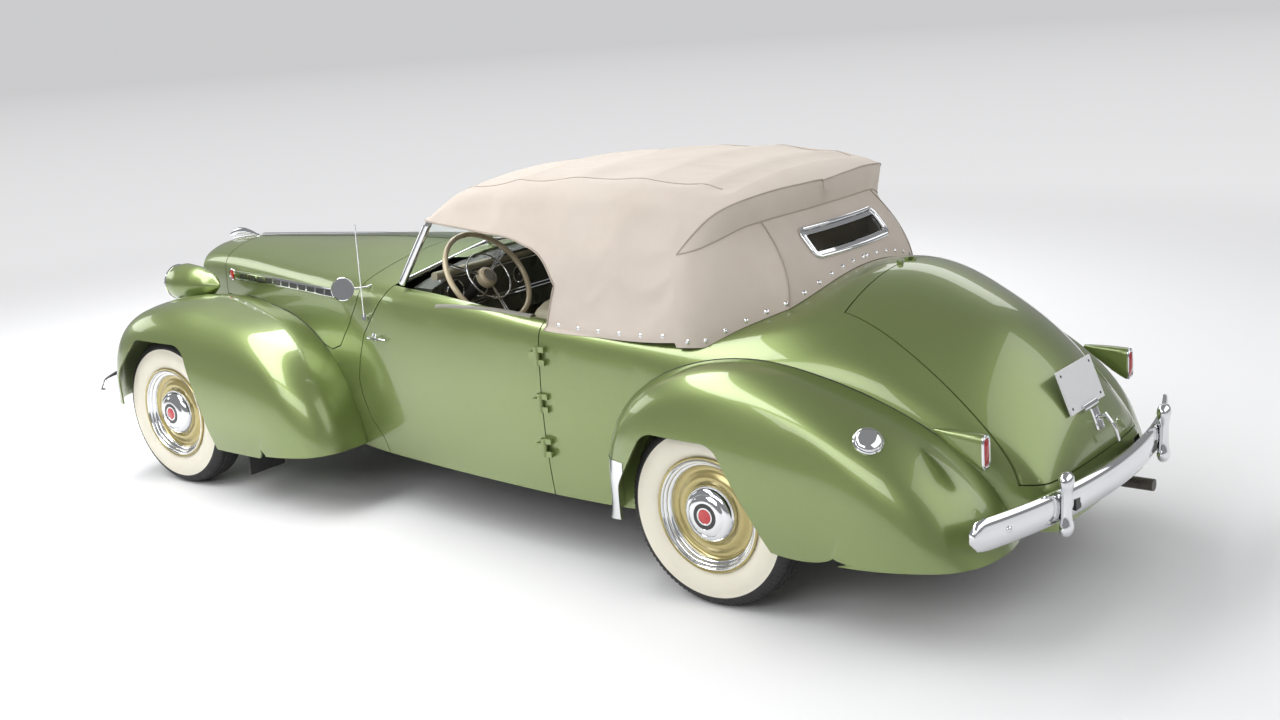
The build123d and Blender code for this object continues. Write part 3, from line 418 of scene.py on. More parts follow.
sage = bpy.data.materials.new("sage_lacquer")
sage.use_nodes = True
shader = sage.node_tree.nodes["Principled BSDF"]
shader.inputs["Metallic"].default_value = 0.62
shader.inputs["Coat Weight"].default_value = 1.0
shader.inputs["Coat Roughness"].default_value = 0.025
effect = sage.node_tree.nodes.new("ShaderNodeGroup")
effect.node_tree = flake
effect.inputs["Lacquer"].default_value = (0.190, 0.252, 0.078, 1)
effect.inputs["Flake"].default_value = (0.40, 0.44, 0.21, 1)
effect.inputs["Spread"].default_value = 0.22
wire(sage.node_tree, (effect, "Color", shader, "Base Color"), (effect, "Roughness", shader, "Roughness"))
trim_hide = mottled("trim_hide", (0.30, 0.285, 0.20), (0.24, 0.23, 0.16), 60.0, 0.45, 0.62, 0.2)


def node_points(node):
    """Welded corner points of a carried-over solid and its triangles."""
    source = frame["nodes"][node].data
    raw = np.empty(len(source.vertices) * 3)
    source.vertices.foreach_get("co", raw)
    raw = raw.reshape(-1, 3)
    source.calc_loop_triangles()
    tri = np.empty(len(source.loop_triangles) * 3, dtype=np.int64)
    source.loop_triangles.foreach_get("vertices", tri)
    first, back = np.unique(np.round(raw / 2e-5), axis=0, return_index=True, return_inverse=True)[1:]
    tri = back.reshape(-1)[tri].reshape(-1, 3)
    whole = (tri[:, 0] != tri[:, 1]) & (tri[:, 1] != tri[:, 2]) & (tri[:, 2] != tri[:, 0])
    return raw[first], tri[whole]


def fitted_normals(points, tri, crease):
    """Normal at each triangle corner, from a curved patch fitted to the points of its smooth side."""
    edge_a = points[tri[:, 1]] - points[tri[:, 0]]
    edge_b = points[tri[:, 2]] - points[tri[:, 0]]
    flat = np.cross(edge_a, edge_b)
    size = np.linalg.norm(flat, axis=1)
    unit = flat / np.maximum(size, 1e-15)[:, None]
    parent = list(range(len(tri) * 3))

    def root(i):
        while parent[i] != i:
            parent[i] = parent[parent[i]]
            i = parent[i]
        return i

    turn = cos(radians(crease))
    waiting = {}
    for f, corner in enumerate(tri.tolist()):
        for k in range(3):
            a, b = corner[k], corner[(k + 1) % 3]
            there = waiting.pop((b, a), None)
            if there is None:
                waiting[(a, b)] = (f, k)
                continue
            g, m = there
            if unit[f] @ unit[g] > turn:
                parent[root(3 * f + k)] = root(3 * g + (m + 1) % 3)
                parent[root(3 * f + (k + 1) % 3)] = root(3 * g + m)
    group = np.array([root(i) for i in range(len(parent))])
    labels, wedge = np.unique(group, return_inverse=True)
    place = np.zeros((len(labels), 3))
    place[wedge] = points[tri.reshape(-1)]
    mean = np.zeros((len(labels), 3))
    np.add.at(mean, wedge, np.repeat(flat, 3, axis=0))
    mean = mean / np.maximum(np.linalg.norm(mean, axis=1), 1e-15)[:, None]
    near = [set() for label in labels]
    for a, b, c in wedge.reshape(-1, 3).tolist():
        near[a].update((b, c))
        near[b].update((a, c))
        near[c].update((a, b))
    fitted = mean.copy()
    for i, first in enumerate(near):
        second = set(first)
        for j in first:
            second |= near[j]
        second.discard(i)
        if len(second) < 7:
            continue
        offset = place[list(second)] - place[i]
        n = mean[i]
        t = np.cross(n, (1, 0, 0) if abs(n[0]) < 0.8 else (0, 1, 0))
        t = t / np.linalg.norm(t)
        s = np.cross(n, t)
        u, v, h = offset @ t, offset @ s, offset @ n
        span = np.sqrt(u * u + v * v)
        scale = span.mean()
        u, v, h = u / scale, v / scale, h / scale
        weight = 1 / (0.05 + span / scale)
        table = np.stack([u * u, u * v, v * v, u, v], axis=1) * weight[:, None]
        try:
            fit = np.linalg.lstsq(table, h * weight, rcond=None)[0]
        except np.linalg.LinAlgError:
            continue
        tilted = n - fit[3] * t - fit[4] * s
        tilted = tilted / np.linalg.norm(tilted)
        if tilted @ n > 0.97:
            fitted[i] = tilted
    return fitted[wedge]


def fitted_shell(node, crease=30.0):
    """Welded copy of a sheet-metal solid with shading normals that follow its pressed curve."""
    points, tri = node_points(node)
    normals = fitted_normals(points, tri, crease)
    mesh = bpy.data.meshes.new(f"{node}_skin")
    mesh.from_pydata(points.tolist(), [], tri.tolist())
    mesh.shade_smooth()
    mesh.normals_split_custom_set(normals.tolist())
    return mesh


painted = ["hood_left", "hood_right", "radiator_shell", "door_left", "door_right", "cowl", "engine_aprons",
           "front_fender_left", "front_fender_right", "rear_fender_left", "rear_fender_right", "tub",
           "trunk_lid", "headlamps"]
body_of_node = {n: b for b, members in frame["record"]["behaviour"]["bodies"].items() for n in members}
lined = {"door_left", "door_right", "tub", "cowl"}
for node in painted:
    mesh = fitted_shell(node)
    skin = piece(f"{node}_skin", mesh, [sage, trim_hide], body_of_node[node])
    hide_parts(node)
    if node in lined:
        for face in mesh.polygons:
            inwards = face.normal.y * (1 if face.center.y < 0 else -1)
            inside = abs(face.center.y) < 0.72 and face.center.z > 0.43 and face.center.x > rear_axle - 0.2
            if inwards > 0.35 and inside:
                face.material_index = 1

bpy.data.objects["trunk_lid_skin"].data.materials[1] = floor_black

# Glass: flat plate in the windshield and the small back window, clear with a faint green edge.
# The panes are clamped in their frames.
glass = bpy.data.materials.new("plate_glass")
glass.use_nodes = True
shader = glass.node_tree.nodes["Principled BSDF"]
shader.inputs["Base Color"].default_value = (0.86, 0.90, 0.88, 1)
shader.inputs["Roughness"].default_value = 0.01
shader.inputs["Transmission Weight"].default_value = 1.0
shader.inputs["IOR"].default_value = 1.08
smear = glass.node_tree.nodes.new("ShaderNodeTexNoise")
smear.inputs["Scale"].default_value = 3.0
film = glass.node_tree.nodes.new("ShaderNodeMapRange")
film.inputs["To Min"].default_value = 0.0
film.inputs["To Max"].default_value = 0.03
place = glass.node_tree.nodes.new("ShaderNodeTexCoord")
wire(glass.node_tree, (place, "Object", smear, "Vector"), (smear, "Fac", film, "Value"),
     (film, "Result", shader, "Roughness"))
dress("windshield_glass", glass)
dress("rear_window_glass", glass)
for node in ("windshield_frame", "rear_window_frame", "hood_strip", "hood_ornament", "grille", "front_bumper",
             "rear_bumper", "side_mirror", "aerial"):
    dress(node, chrome)

# Cloth top: pale canvas cut in a roof panel and two quarters, sewn and stretched over hidden bows.
# It is clamped to the windshield header, bound at its edges and snapped to the body round the rear deck.
weave, given, put = shader_group(
    "weave",
    [("Yarn A", "NodeSocketColor", (0.6, 0.55, 0.5, 1)), ("Yarn B", "NodeSocketColor", (0.5, 0.45, 0.4, 1)),
     ("Soil", "NodeSocketColor", (0.4, 0.36, 0.3, 1)), ("Pitch", "NodeSocketFloat", 520.0)],
    [("Color", "NodeSocketColor"), ("Normal", "NodeSocketVector")])
where = weave.nodes.new("ShaderNodeTexCoord")
bands = []
for direction in ("X", "DIAGONAL"):
    band = weave.nodes.new("ShaderNodeTexWave")
    band.bands_direction = direction
    band.inputs["Distortion"].default_value = 1.2
    band.inputs["Detail"].default_value = 1.0
    wire(weave, (where, "Object", band, "Vector"), (given, "Pitch", band, "Scale"))
    bands.append(band)
cross = weave.nodes.new("ShaderNodeMath")
cross.operation = "MULTIPLY"
clouds = weave.nodes.new("ShaderNodeTexNoise")
clouds.inputs["Scale"].default_value = 3.4
clouds.inputs["Detail"].default_value = 7.0
clouds.inputs["Roughness"].default_value = 0.6
worn = weave.nodes.new("ShaderNodeMapRange")
worn.inputs["From Min"].default_value = 0.42
worn.inputs["From Max"].default_value = 0.85
worn.inputs["To Max"].default_value = 0.55
yarn = weave.nodes.new("ShaderNodeMix")
yarn.data_type = "RGBA"
soil = weave.nodes.new("ShaderNodeMix")
soil.data_type = "RGBA"
relief = weave.nodes.new("ShaderNodeBump")
relief.inputs["Strength"].default_value = 0.12
relief.inputs["Distance"].default_value = 0.001
wire(weave, (bands[0], "Fac", cross, 0), (bands[1], "Fac", cross, 1))
wire(weave, (cross, "Value", yarn, "Factor"), (given, "Yarn A", yarn, "A"), (given, "Yarn B", yarn, "B"),
     (where, "Object", clouds, "Vector"), (clouds, "Fac", worn, "Value"),
     (worn, "Result", soil, "Factor"), (yarn, "Result", soil, "A"), (given, "Soil", soil, "B"),
     (soil, "Result", put, "Color"), (cross, "Value", relief, "Height"),
     (relief, "Normal", put, "Normal"))


def woven(name, yarn_a, yarn_b, soiled, pitch):
    """Cloth material with a fine cross weave and faint soiling."""
    mat = bpy.data.materials.new(name)
    mat.use_nodes = True
    shader = mat.node_tree.nodes["Principled BSDF"]
    shader.inputs["Roughness"].default_value = 0.88
    shader.inputs["Specular IOR Level"].default_value = 0.2
    shader.inputs["Sheen Weight"].default_value = 0.15
    effect = mat.node_tree.nodes.new("ShaderNodeGroup")
    effect.node_tree = weave
    effect.inputs["Yarn A"].default_value = (*yarn_a, 1)
    effect.inputs["Yarn B"].default_value = (*yarn_b, 1)
    effect.inputs["Soil"].default_value = (*soiled, 1)
    effect.inputs["Pitch"].default_value = pitch
    wire(mat.node_tree, (effect, "Color", shader, "Base Color"), (effect, "Normal", shader, "Normal"))
    return mat


canvas = woven("canvas", (0.58, 0.515, 0.455), (0.52, 0.455, 0.395), (0.44, 0.375, 0.315), 480.0)
canvas_edge = woven("canvas_edge", (0.40, 0.345, 0.29), (0.35, 0.30, 0.25), (0.28, 0.24, 0.2), 480.0)


def eased(table, x):
    """Row of a table at a place between its rows, on a smooth curve through them."""
    table = np.array(table, dtype=float)
    stops, values = table[:, 0], table[:, 1:]
    slope = np.gradient(values, stops, axis=0)
    i = int(np.clip(np.searchsorted(stops, x) - 1, 0, len(stops) - 2))
    gap = stops[i + 1] - stops[i]
    t = min(max((x - stops[i]) / gap, 0.0), 1.0)
    start, end = values[i], values[i + 1]
    pull = (t ** 3 - 2 * t ** 2 + t) * gap * slope[i] + (t ** 3 - t ** 2) * gap * slope[i + 1]
    return start + (3 * t ** 2 - 2 * t ** 3) * (end - start) + pull


# Columns in millimetres: station, top, crown drop, shoulder radius, half width
bow_rows = [(-85, 1478, 92, 180, 690), (20, 1524, 88, 190, 712), (200, 1562, 82, 190, 734),
            (540, 1580, 76, 180, 738), (880, 1570, 72, 160, 720), (1200, 1542, 70, 130, 700),
            (1443, 1505, 72, 105, 672), (1600, 1440, 82, 60, 652), (1680, 1408, 84, 50, 642)]
flank_radius = 1000.0
bow_waist = 1000.0


def bow_curve(x):
    """Half section of the stretched roof at a station, from the waist up to the middle line."""
    top, drop, rnd, half = eased(bow_rows, x)
    crown = (half * half + drop * drop) / (2 * drop)
    crown_c = np.array((0.0, top - crown))
    flank_c = np.array((half - flank_radius, bow_waist))
    gap = flank_c - crown_c
    span = hypot(*gap)
    r1, r2 = crown - rnd, flank_radius - rnd
    along = (r1 * r1 - r2 * r2 + span * span) / (2 * span)
    rise = sqrt(max(r1 * r1 - along * along, 0.0))
    ways = [crown_c + along * gap / span + k * rise * np.array((-gap[1], gap[0])) / span for k in (1, -1)]
    round_c = max(ways, key=lambda c: c[0] + 0.5 * c[1])
    low = np.arctan2(round_c[1] - flank_c[1], round_c[0] - flank_c[0])
    high = np.arctan2(round_c[1] - crown_c[1], round_c[0] - crown_c[0])
    pieces = []
    arcs = ((flank_c, flank_radius, -0.06, low, 60), (round_c, rnd, low, high, 40),
            (crown_c, crown, high, pi / 2, 60))
    for centre, radius, begin, end, count in arcs:
        turn = np.linspace(begin, end, count)
        pieces.append(np.stack([centre[0] + radius * np.cos(turn), centre[1] + radius * np.sin(turn)], axis=1))
    return np.concatenate(pieces)


def stretch_of(curve, low, high, count):
    """Evenly spaced points of a half section between two heights."""
    low = min(low, curve[-1, 1] - 0.5)
    heights = curve[:, 1]
    ends = [np.array((np.interp(h, heights, curve[:, 0]), h)) for h in (low, min(high, heights[-1]))]
    inner = curve[(heights > low + 0.1) & (heights < high - 0.1)]
    line = np.concatenate([[ends[0]], inner, [ends[1]]])
    run = np.concatenate([[0], np.cumsum(np.linalg.norm(np.diff(line, axis=0), axis=1))])
    at = np.linspace(0, run[-1], count)
    return np.stack([np.interp(at, run, line[:, 0]), np.interp(at, run, line[:, 1])], axis=1)


opening_edge = [(779, 1146), (838, 1226), (989, 1297), (1225, 1324), (1552, 1340), (1700, 1346)]
flap_seam = [(-62, 1492), (-52, 1491.5), (-15, 1488), (4, 1478), (69, 1436), (142, 1357), (190, 1296)]
hem_line = [(190, 971), (331, 962), (550, 960), (737, 963), (824, 968)]
low_count = 24
high_count = 46


def full_row(x, half):
    """Left and right halves of a row as one list of (station, side, height) points."""
    left = [(x, y, z) for y, z in half]
    return left + [(px, -py, pz) for px, py, pz in reversed(left[:-1])]


def nosed(row, x):
    """Front rows bend back towards the posts, because the windshield is a shallow vee."""
    share = min(max((x - 1380) / 285, 0.0), 1.0) ** 1.5
    return [(px - 65 * share * abs(py) / 640, py, pz) for px, py, pz in row]


tub_points, tub_tri = node_points("tub")
tub_skin = BVHTree.FromPolygons(tub_points.tolist(), tub_tri.tolist())


def clear_of_tub(p, gap=0.003):
    """The point, pushed out along its side until it lies on the body instead of inside it."""
    if p.z > spot(0, 0, 1060).z:
        return p
    way = Vector((0, 1 if p.y > 0 else -1, 0))
    hit = tub_skin.ray_cast(p + way * 0.4, -way, 0.5)[0]
    if hit is not None and (hit - p).dot(way) > -gap:
        return hit + way * gap
    return p


roof_points = []
roof_faces = []


def add_patch(rows):
    """Joins a block of equal rows to the cloth."""
    start = len(roof_points)
    width = len(rows[0])
    for row in rows:
        roof_points.extend(spot(*p) for p in row)
    roof_faces.extend(tuple(start + i for i in face) for face in grid_faces(len(rows), width))


front_rows = []
for x in np.linspace(1665, 779, 64):
    half = stretch_of(bow_curve(x), float(eased(opening_edge, x)[0]), 2000, high_count)
    front_rows.append(nosed(full_row(x, half), x))
add_patch(front_rows)
quarter_rows = []
for x in np.linspace(779, 190, 46):
    split = np.interp(x, (190, 779), (1296, 1146))
    lower = stretch_of(bow_curve(x), float(eased(hem_line, x)[0]), split, low_count)
    upper = stretch_of(bow_curve(x), split, 2000, high_count)
    row = full_row(x, np.concatenate([lower[:-1], upper]))
    slant = max(0.0, (x - 560) / 219)
    quarter_rows.append([(px + 45 * slant * max(0.0, (1146 - pz) / 170), py, pz) for px, py, pz in row])
add_patch(quarter_rows)
tail_rows = []
for x in np.concatenate([np.linspace(190, 10, 20), np.linspace(4, -62, 14)]):
    half = stretch_of(bow_curve(x), float(eased(flap_seam, x)[0]), 2000, high_count)
    tail_rows.append(full_row(x, half))
add_patch(tail_rows)

curtain_rows = np.array([(950, 706, 70, 655, -130, 510, -340), (1150, 690, 85, 632, -148, 460, -236),
                         (1400, 652, 160, 592, 18, 400, -18)], dtype=float)
curtain_fit = np.polyfit(curtain_rows[:, 0], curtain_rows[:, 1:], 2)
# Columns: share of the way from the side to the middle, height of the flap's lower edge
flap_height = [(0, 1296), (0.1, 1312), (0.2, 1334), (0.3, 1356), (0.4, 1373), (0.5, 1381), (0.75, 1386),
               (1, 1388)]


def arc_point(a, b, c, t):
    """Place at share t of the arc that runs from a through b to c."""
    (ax, ay), (bx, by), (cx, cy) = a, b, c
    d = 2 * (ax * (by - cy) + bx * (cy - ay) + cx * (ay - by))
    aa, bb, cc = ax * ax + ay * ay, bx * bx + by * by, cx * cx + cy * cy
    ux = (aa * (by - cy) + bb * (cy - ay) + cc * (ay - by)) / d
    uy = (aa * (cx - bx) + bb * (ax - cx) + cc * (bx - ax)) / d
    turns = np.unwrap([np.arctan2(y - uy, x - ux) for x, y in (a, b, c)])
    turn = turns[0] + (turns[2] - turns[0]) * t
    radius = hypot(ax - ux, ay - uy)
    return ux + radius * cos(turn), uy + radius * sin(turn)


side_curve = bow_curve(190)


def curtain_point(share, z, lift=0.0):
    """Point of the left half of the curtain; share 0 is at the quarter and 1 on the middle line."""
    half, sx, sy, cx, cy, rx = curtain_fit[0] * z * z + curtain_fit[1] * z + curtain_fit[2]
    if share < 0.5:
        t = 2 * share
        side_y = np.interp(z, side_curve[:, 1], side_curve[:, 0])
        reach = hypot(190 - cx, side_y - cy)
        turn = hypot(sx - cx, sy - cy)
        leave = (-reach, -0.04 * reach)
        arrive = (0.95 * reach * (cx - sx) / turn, 0.95 * reach * (cy - sy) / turn)
        go, end = 2 * t ** 3 - 3 * t ** 2 + 1, 3 * t ** 2 - 2 * t ** 3
        go_pull, end_pull = t ** 3 - 2 * t ** 2 + t, t ** 3 - t ** 2
        x = go * 190 + go_pull * leave[0] + end * cx + end_pull * arrive[0]
        y = go * side_y + go_pull * leave[1] + end * cy + end_pull * arrive[1]
    else:
        x, y = arc_point((cx, cy), (rx, 0), (cx, -cy), share - 0.5)
    outward = hypot(x - 300, y)
    return np.array((x + lift * (x - 300) / outward, y + lift * y / outward, z))


seam_side = [np.array(row[0]) for row in tail_rows]
run = np.concatenate([[0], np.cumsum([np.linalg.norm(b - a) for a, b in zip(seam_side, seam_side[1:])])])
flap_rows = []
for point, far in zip(seam_side, run / run[-1]):
    foot = curtain_point(far, eased(flap_height, far)[0], lift=3.0 * min(1.0, 4 * far))
    drop = np.linspace(0, 1, 7)
    swell = 6 * np.sin(drop * pi) * min(1.0, 3 * far)
    puff = np.array((-1.0, 0.4, 0.3))
    flap_rows.append([tuple(point + (foot - point) * d + puff * s) for d, s in zip(drop, swell)])
mirrored = [[(px, -py, pz) for px, py, pz in row] for row in reversed(flap_rows[:-1])]
add_patch(flap_rows + mirrored)
roof_points = [clear_of_tub(p) for p in roof_points]


def settle(obj, pinned, frames, slack):
    """Lets a cloth piece hang and crease between the places where it is held."""
    held_group = obj.vertex_groups.new(name="held")
    for weight, index in pinned:
        held_group.add([index], weight, "REPLACE")
    cloth = obj.modifiers.new("cloth", "CLOTH")
    cloth.settings.vertex_group_mass = "held"
    cloth.settings.mass = 0.3
    cloth.settings.quality = 6
    cloth.settings.tension_stiffness = 60
    cloth.settings.compression_stiffness = 60
    cloth.settings.bending_stiffness = 6.0
    cloth.settings.effector_weights.gravity = 0.35
    cloth.settings.shrink_min = -slack
    cloth.settings.shrink_max = -slack
    cloth.point_cache.frame_start = 1
    cloth.point_cache.frame_end = frames
    for step in range(1, frames + 1):
        bpy.context.scene.frame_set(step)
    settled = bpy.data.meshes.new_from_object(obj.evaluated_get(bpy.context.evaluated_depsgraph_get()))
    obj.modifiers.clear()
    obj.vertex_groups.clear()
    settled.name = obj.name
    obj.data = settled
    bpy.context.scene.frame_set(1)


def thickened(mesh, thick):
    """Gives a sheet its thickness, inwards from its outer face."""
    bm = bmesh.new()
    bm.from_mesh(mesh)
    bmesh.ops.solidify(bm, geom=bm.faces, thickness=thick)
    bmesh.ops.recalc_face_normals(bm, faces=bm.faces)
    bm.to_mesh(mesh)
    bm.free()
    mesh.shade_smooth()
    mesh.set_sharp_from_angle(angle=radians(60))


cloth_thick = 0.003
roof_mesh = mesh_of("roof_canvas", roof_points, roof_faces, weld=2e-4)
up_faces = sum(face.normal.z * face.area for face in roof_mesh.polygons)
if up_faces < 0:
    roof_mesh.flip_normals()
roof_cloth = piece("roof_canvas", roof_mesh, [canvas, canvas_edge], "body")
bow_stations = [rear_axle + x / 1000 for x in (1443, 1130, 800, 470, 190)]
rim = {}
for face in roof_mesh.polygons:
    for edge in face.edge_keys:
        rim[edge] = rim.get(edge, 0) + 1
rim_points = {i for edge, uses in rim.items() if uses == 1 for i in edge}
pins = []
for vertex in roof_mesh.vertices:
    near_bow = min(abs(vertex.co.x - b) for b in bow_stations)
    if vertex.index in rim_points:
        pins.append((1.0, vertex.index))
    elif near_bow < 0.022 and vertex.co.z > 1.2:
        pins.append((1.0, vertex.index))
    elif vertex.co.x < spot(70, 0, 0).x or vertex.co.x > spot(1600, 0, 0).x:
        pins.append((1.0, vertex.index))
settle(roof_cloth, pins, 12, 0.0004)
roof_skin = BVHTree.FromObject(roof_cloth, bpy.context.evaluated_depsgraph_get())
thickened(roof_cloth.data, cloth_thick)
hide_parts("soft_top")


# Back curtain: one canvas piece carried round from the quarters, with a chrome-framed window let in.
# Its upper edge is sewn under the flap and its hem snaps to studs on the deck.
def deck_height(x, y):
    """Height of the body's skin under a place, in millimetres, or nothing over the open cabin."""
    hit = tub_skin.ray_cast(spot(x, y, 1600), Vector((0, 0, -1)), 0.9)[0]
    return None if hit is None else hit.z * 1000


def hem_height(share):
    """Height where the hanging curtain meets the body."""
    z = 1290.0
    while z > 955:
        deck = deck_height(*curtain_point(share, z)[:2])
        if deck is not None and deck > z - 3:
            return max(z, deck + 2)
        z = z - 4
    return z


window_low, window_high, window_half, window_round = 1230.0, 1325.0, 271.0, 26.0


def window_depth(y, z):
    """Distance outside the window opening's edge in millimetres, negative inside it."""
    dy = abs(y) - (window_half - window_round)
    dz = abs(z - (window_low + window_high) / 2) - ((window_high - window_low) / 2 - window_round)
    return hypot(max(dy, 0), max(dz, 0)) + min(max(dy, dz), 0) - window_round


curtain_across = 110
curtain_down = 48
shares = np.linspace(0, 1, curtain_across)
hems = [hem_height(s) for s in shares]
hems = np.convolve(np.pad(hems, 2, mode="edge"), np.ones(5) / 5, mode="valid")
hems[0] = 971
columns = []
for share, hem in zip(shares, hems):
    top = eased(flap_height, share)[0] + 16 * min(1.0, share / 0.08)
    column = []
    for z in np.linspace(hem, top, curtain_down):
        p = curtain_point(share, z)
        ripple = 3.0 * noise.noise(Vector((share * 9, z / 160, 3.1)))
        ripple = ripple * min(1.0, (z - hem) / 60) * min(1.0, share / 0.1)
        edge = window_depth(p[1], z)
        p = curtain_point(share, z, lift=ripple * min(1.0, max(0.0, edge) / 60))
        column.append(p)
    columns.append(column)
cell = 5.2
for column in columns:
    for k, p in enumerate(column):
        edge = window_depth(p[1], p[2])
        if abs(edge) < cell:
            step = 0.5
            slope_y = (window_depth(p[1] + step, p[2]) - window_depth(p[1] - step, p[2])) / (2 * step)
            slope_z = (window_depth(p[1], p[2] + step) - window_depth(p[1], p[2] - step)) / (2 * step)
            column[k] = p - edge * np.array((0, slope_y, slope_z))
whole = columns + [[p * np.array((1, -1, 1)) for p in column] for column in reversed(columns[:-1])]
faces = []
for face in grid_faces(len(whole), curtain_down):
    middle = sum(whole[i // curtain_down][i % curtain_down] for i in face) / 4
    if window_depth(middle[1], middle[2]) > -0.5:
        faces.append(face)
flat_points = [spot(*p) for column in whole for p in column]
curtain_mesh = mesh_of("back_curtain_canvas", flat_points, faces)
bm = bmesh.new()
bm.from_mesh(curtain_mesh)
bmesh.ops.delete(bm, geom=[v for v in bm.verts if not v.link_faces], context="VERTS")
bm.to_mesh(curtain_mesh)
bm.free()
if sum((face.center.x - spot(300, 0, 0).x) * face.normal.x for face in curtain_mesh.polygons) < 0:
    curtain_mesh.flip_normals()
curtain_cloth = piece("back_curtain_canvas", curtain_mesh, [canvas], "body")
thickened(curtain_mesh, cloth_thick)
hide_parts("back_curtain")


def tube_faces(rows, width, capped=True):
    """Quads between rows of points that each close on themselves, with flat ends where wanted."""
    faces = []
    for start in range(0, (rows - 1) * width, width):
        for j in range(width):
            n = (j + 1) % width
            faces.append((start + j, start + n, start + width + n, start + width + j))
    if capped:
        faces.append(tuple(range(width)))
        faces.append(tuple(range((rows - 1) * width, rows * width)))
    return faces


def swept(path, section, up=(0, 0, 1), closed=False):
    """Points and faces of a closed section carried along a path; section u runs sideways and v upwards."""
    path = [Vector(p) for p in path]
    count, width = len(path), len(section)
    points = []
    for i, p in enumerate(path):
        before = path[i - 1] if closed or i else p
        after = path[(i + 1) % count] if closed or i < count - 1 else p
        along = (after - before).normalized()
        side = along.cross(Vector(up))
        side = side.normalized() if side.length > 1e-6 else along.orthogonal().normalized()
        rise = side.cross(along)
        points.extend(p + side * u + rise * v for u, v in section)
    faces = tube_faces(count, width, capped=not closed)
    if closed:
        last = (count - 1) * width
        faces.extend((last + j, last + (j + 1) % width, (j + 1) % width, j) for j in range(width))
    return points, faces


def rounded(radius, steps=10, squeeze=1.0):
    """Round section, squeezed in height where wanted."""
    turns = [2 * pi * i / steps for i in range(steps)]
    return [(radius * cos(turn), squeeze * radius * sin(turn)) for turn in turns]


def turned(profile, origin, axis, steps=40):
    """Points and faces of a (radius, height) profile spun round an axis."""
    axis = Vector(axis).normalized()
    side = axis.orthogonal().normalized()
    other = axis.cross(side)
    points = []
    for i in range(steps):
        turn = 2 * pi * i / steps
        way = side * cos(turn) + other * sin(turn)
        points.extend(Vector(origin) + way * r + axis * h for r, h in profile)
    return points, grid_faces(steps, len(profile), ring=True)


def assembled(name, parts, materials, body, crease=42):
    """One visual piece from several (points, faces, finish) parts."""
    bm = bmesh.new()
    for points, faces, finish in parts:
        verts = [bm.verts.new(p) for p in points]
        made = []
        for face in faces:
            try:
                made.append(bm.faces.new([verts[i] for i in face]))
            except ValueError:
                continue
        for face in made:
            face.material_index = finish
            face.smooth = True
        bmesh.ops.remove_doubles(bm, verts=verts, dist=2e-5)
    bmesh.ops.recalc_face_normals(bm, faces=bm.faces)
    mesh = bpy.data.meshes.new(name)
    bm.to_mesh(mesh)
    bm.free()
    mesh.set_sharp_from_angle(angle=radians(crease))
    return piece(name, mesh, materials, body)


def window_ring(grow, lift, count=120):
    """Closed path round the back window on the curtain's face."""
    path = []
    half, tall, corner = window_half + grow, (window_high - window_low) / 2 + grow, window_round + grow
    middle = (window_high + window_low) / 2
    flat_y, flat_z = half - corner, tall - corner
    for quarter, (sy, sz) in enumerate(((1, 1), (-1, 1), (-1, -1), (1, -1))):
        for i in range(count // 4):
            turn = pi / 2 * (quarter + i / (count // 4))
            path.append((sy * flat_y + corner * cos(turn), middle + sz * flat_z + corner * sin(turn)))
    dense = []
    for a, b in zip(path, path[1:] + path[:1]):
        steps = max(1, int(hypot(b[0] - a[0], b[1] - a[1]) / 20))
        dense.extend((a[0] + (b[0] - a[0]) * k / steps, a[1] + (b[1] - a[1]) * k / steps)
                     for k in range(steps))
    ring = []
    for y, z in dense:
        cx, cy, rx = (curtain_fit[0] * z * z + curtain_fit[1] * z + curtain_fit[2])[3:]
        bulge = (cx - rx) / (cy * cy)
        ring.append(spot(rx + bulge * y * y - lift, y, z + 0.6 * lift))
    return ring


tilt = (-0.72, 0, 0.7)
bead = swept(window_ring(3, 4), rounded(0.0085, 12), up=tilt, closed=True)
assembled("back_window_bead", [(*bead, 0)], [chrome], "body")


def on_curtain(share, z, side, lift):
    """Place just proud of the curtain on either side."""
    x, y, height = curtain_point(share, z, lift)
    return spot(x, side * y, height)


def both_sides(left):
    """Line of places down the left side and back up the right one."""
    return [spot(*p) for p in left] + [spot(x, -y, z) for x, y, z in reversed(left[:-1])]


seams = []
for side in (1, -1):
    stitch = [on_curtain(0.5, z, side, 1.5) for z in np.linspace(hems[curtain_across // 2] + 4, 1384, 30)]
    seams.append((*swept(stitch, rounded(0.0022, 6)), 0))
roof_edge = both_sides([row[0] for row in tail_rows])
seams.append((*swept(roof_edge, rounded(0.0032, 8)), 0))
flap_line = both_sides([row[-1] for row in flap_rows])
seams.append((*swept(flap_line, rounded(0.0030, 8)), 0))
for side in (1, -1):
    panel_seam = []
    for x in np.linspace(1640, 120, 60):
        y = np.interp(x, (120, 436, 891, 1443, 1640), (470, 500, 500, 452, 430))
        hit = roof_skin.ray_cast(spot(x, side * y, 1700), Vector((0, 0, -1)), 0.6)[0]
        if hit is not None:
            panel_seam.append(hit + Vector((0, 0, 0.0008)))
    seams.append((*swept(panel_seam, rounded(0.0020, 6)), 0))
    side_row = len(front_rows[0]) - 1 if side < 0 else 0
    opening_path = [clear_of_tub(spot(*row[side_row])) for row in front_rows]
    quarter_edge = [clear_of_tub(spot(*p)) for p in (quarter_rows[0][:low_count] if side > 0 else
                                                      quarter_rows[0][-low_count:])]
    if side > 0:
        quarter_edge.reverse()
    seams.append((*swept(opening_path + quarter_edge[1:], rounded(0.0042, 8)), 0))
assembled("canvas_binding", seams, [canvas_edge], "body")

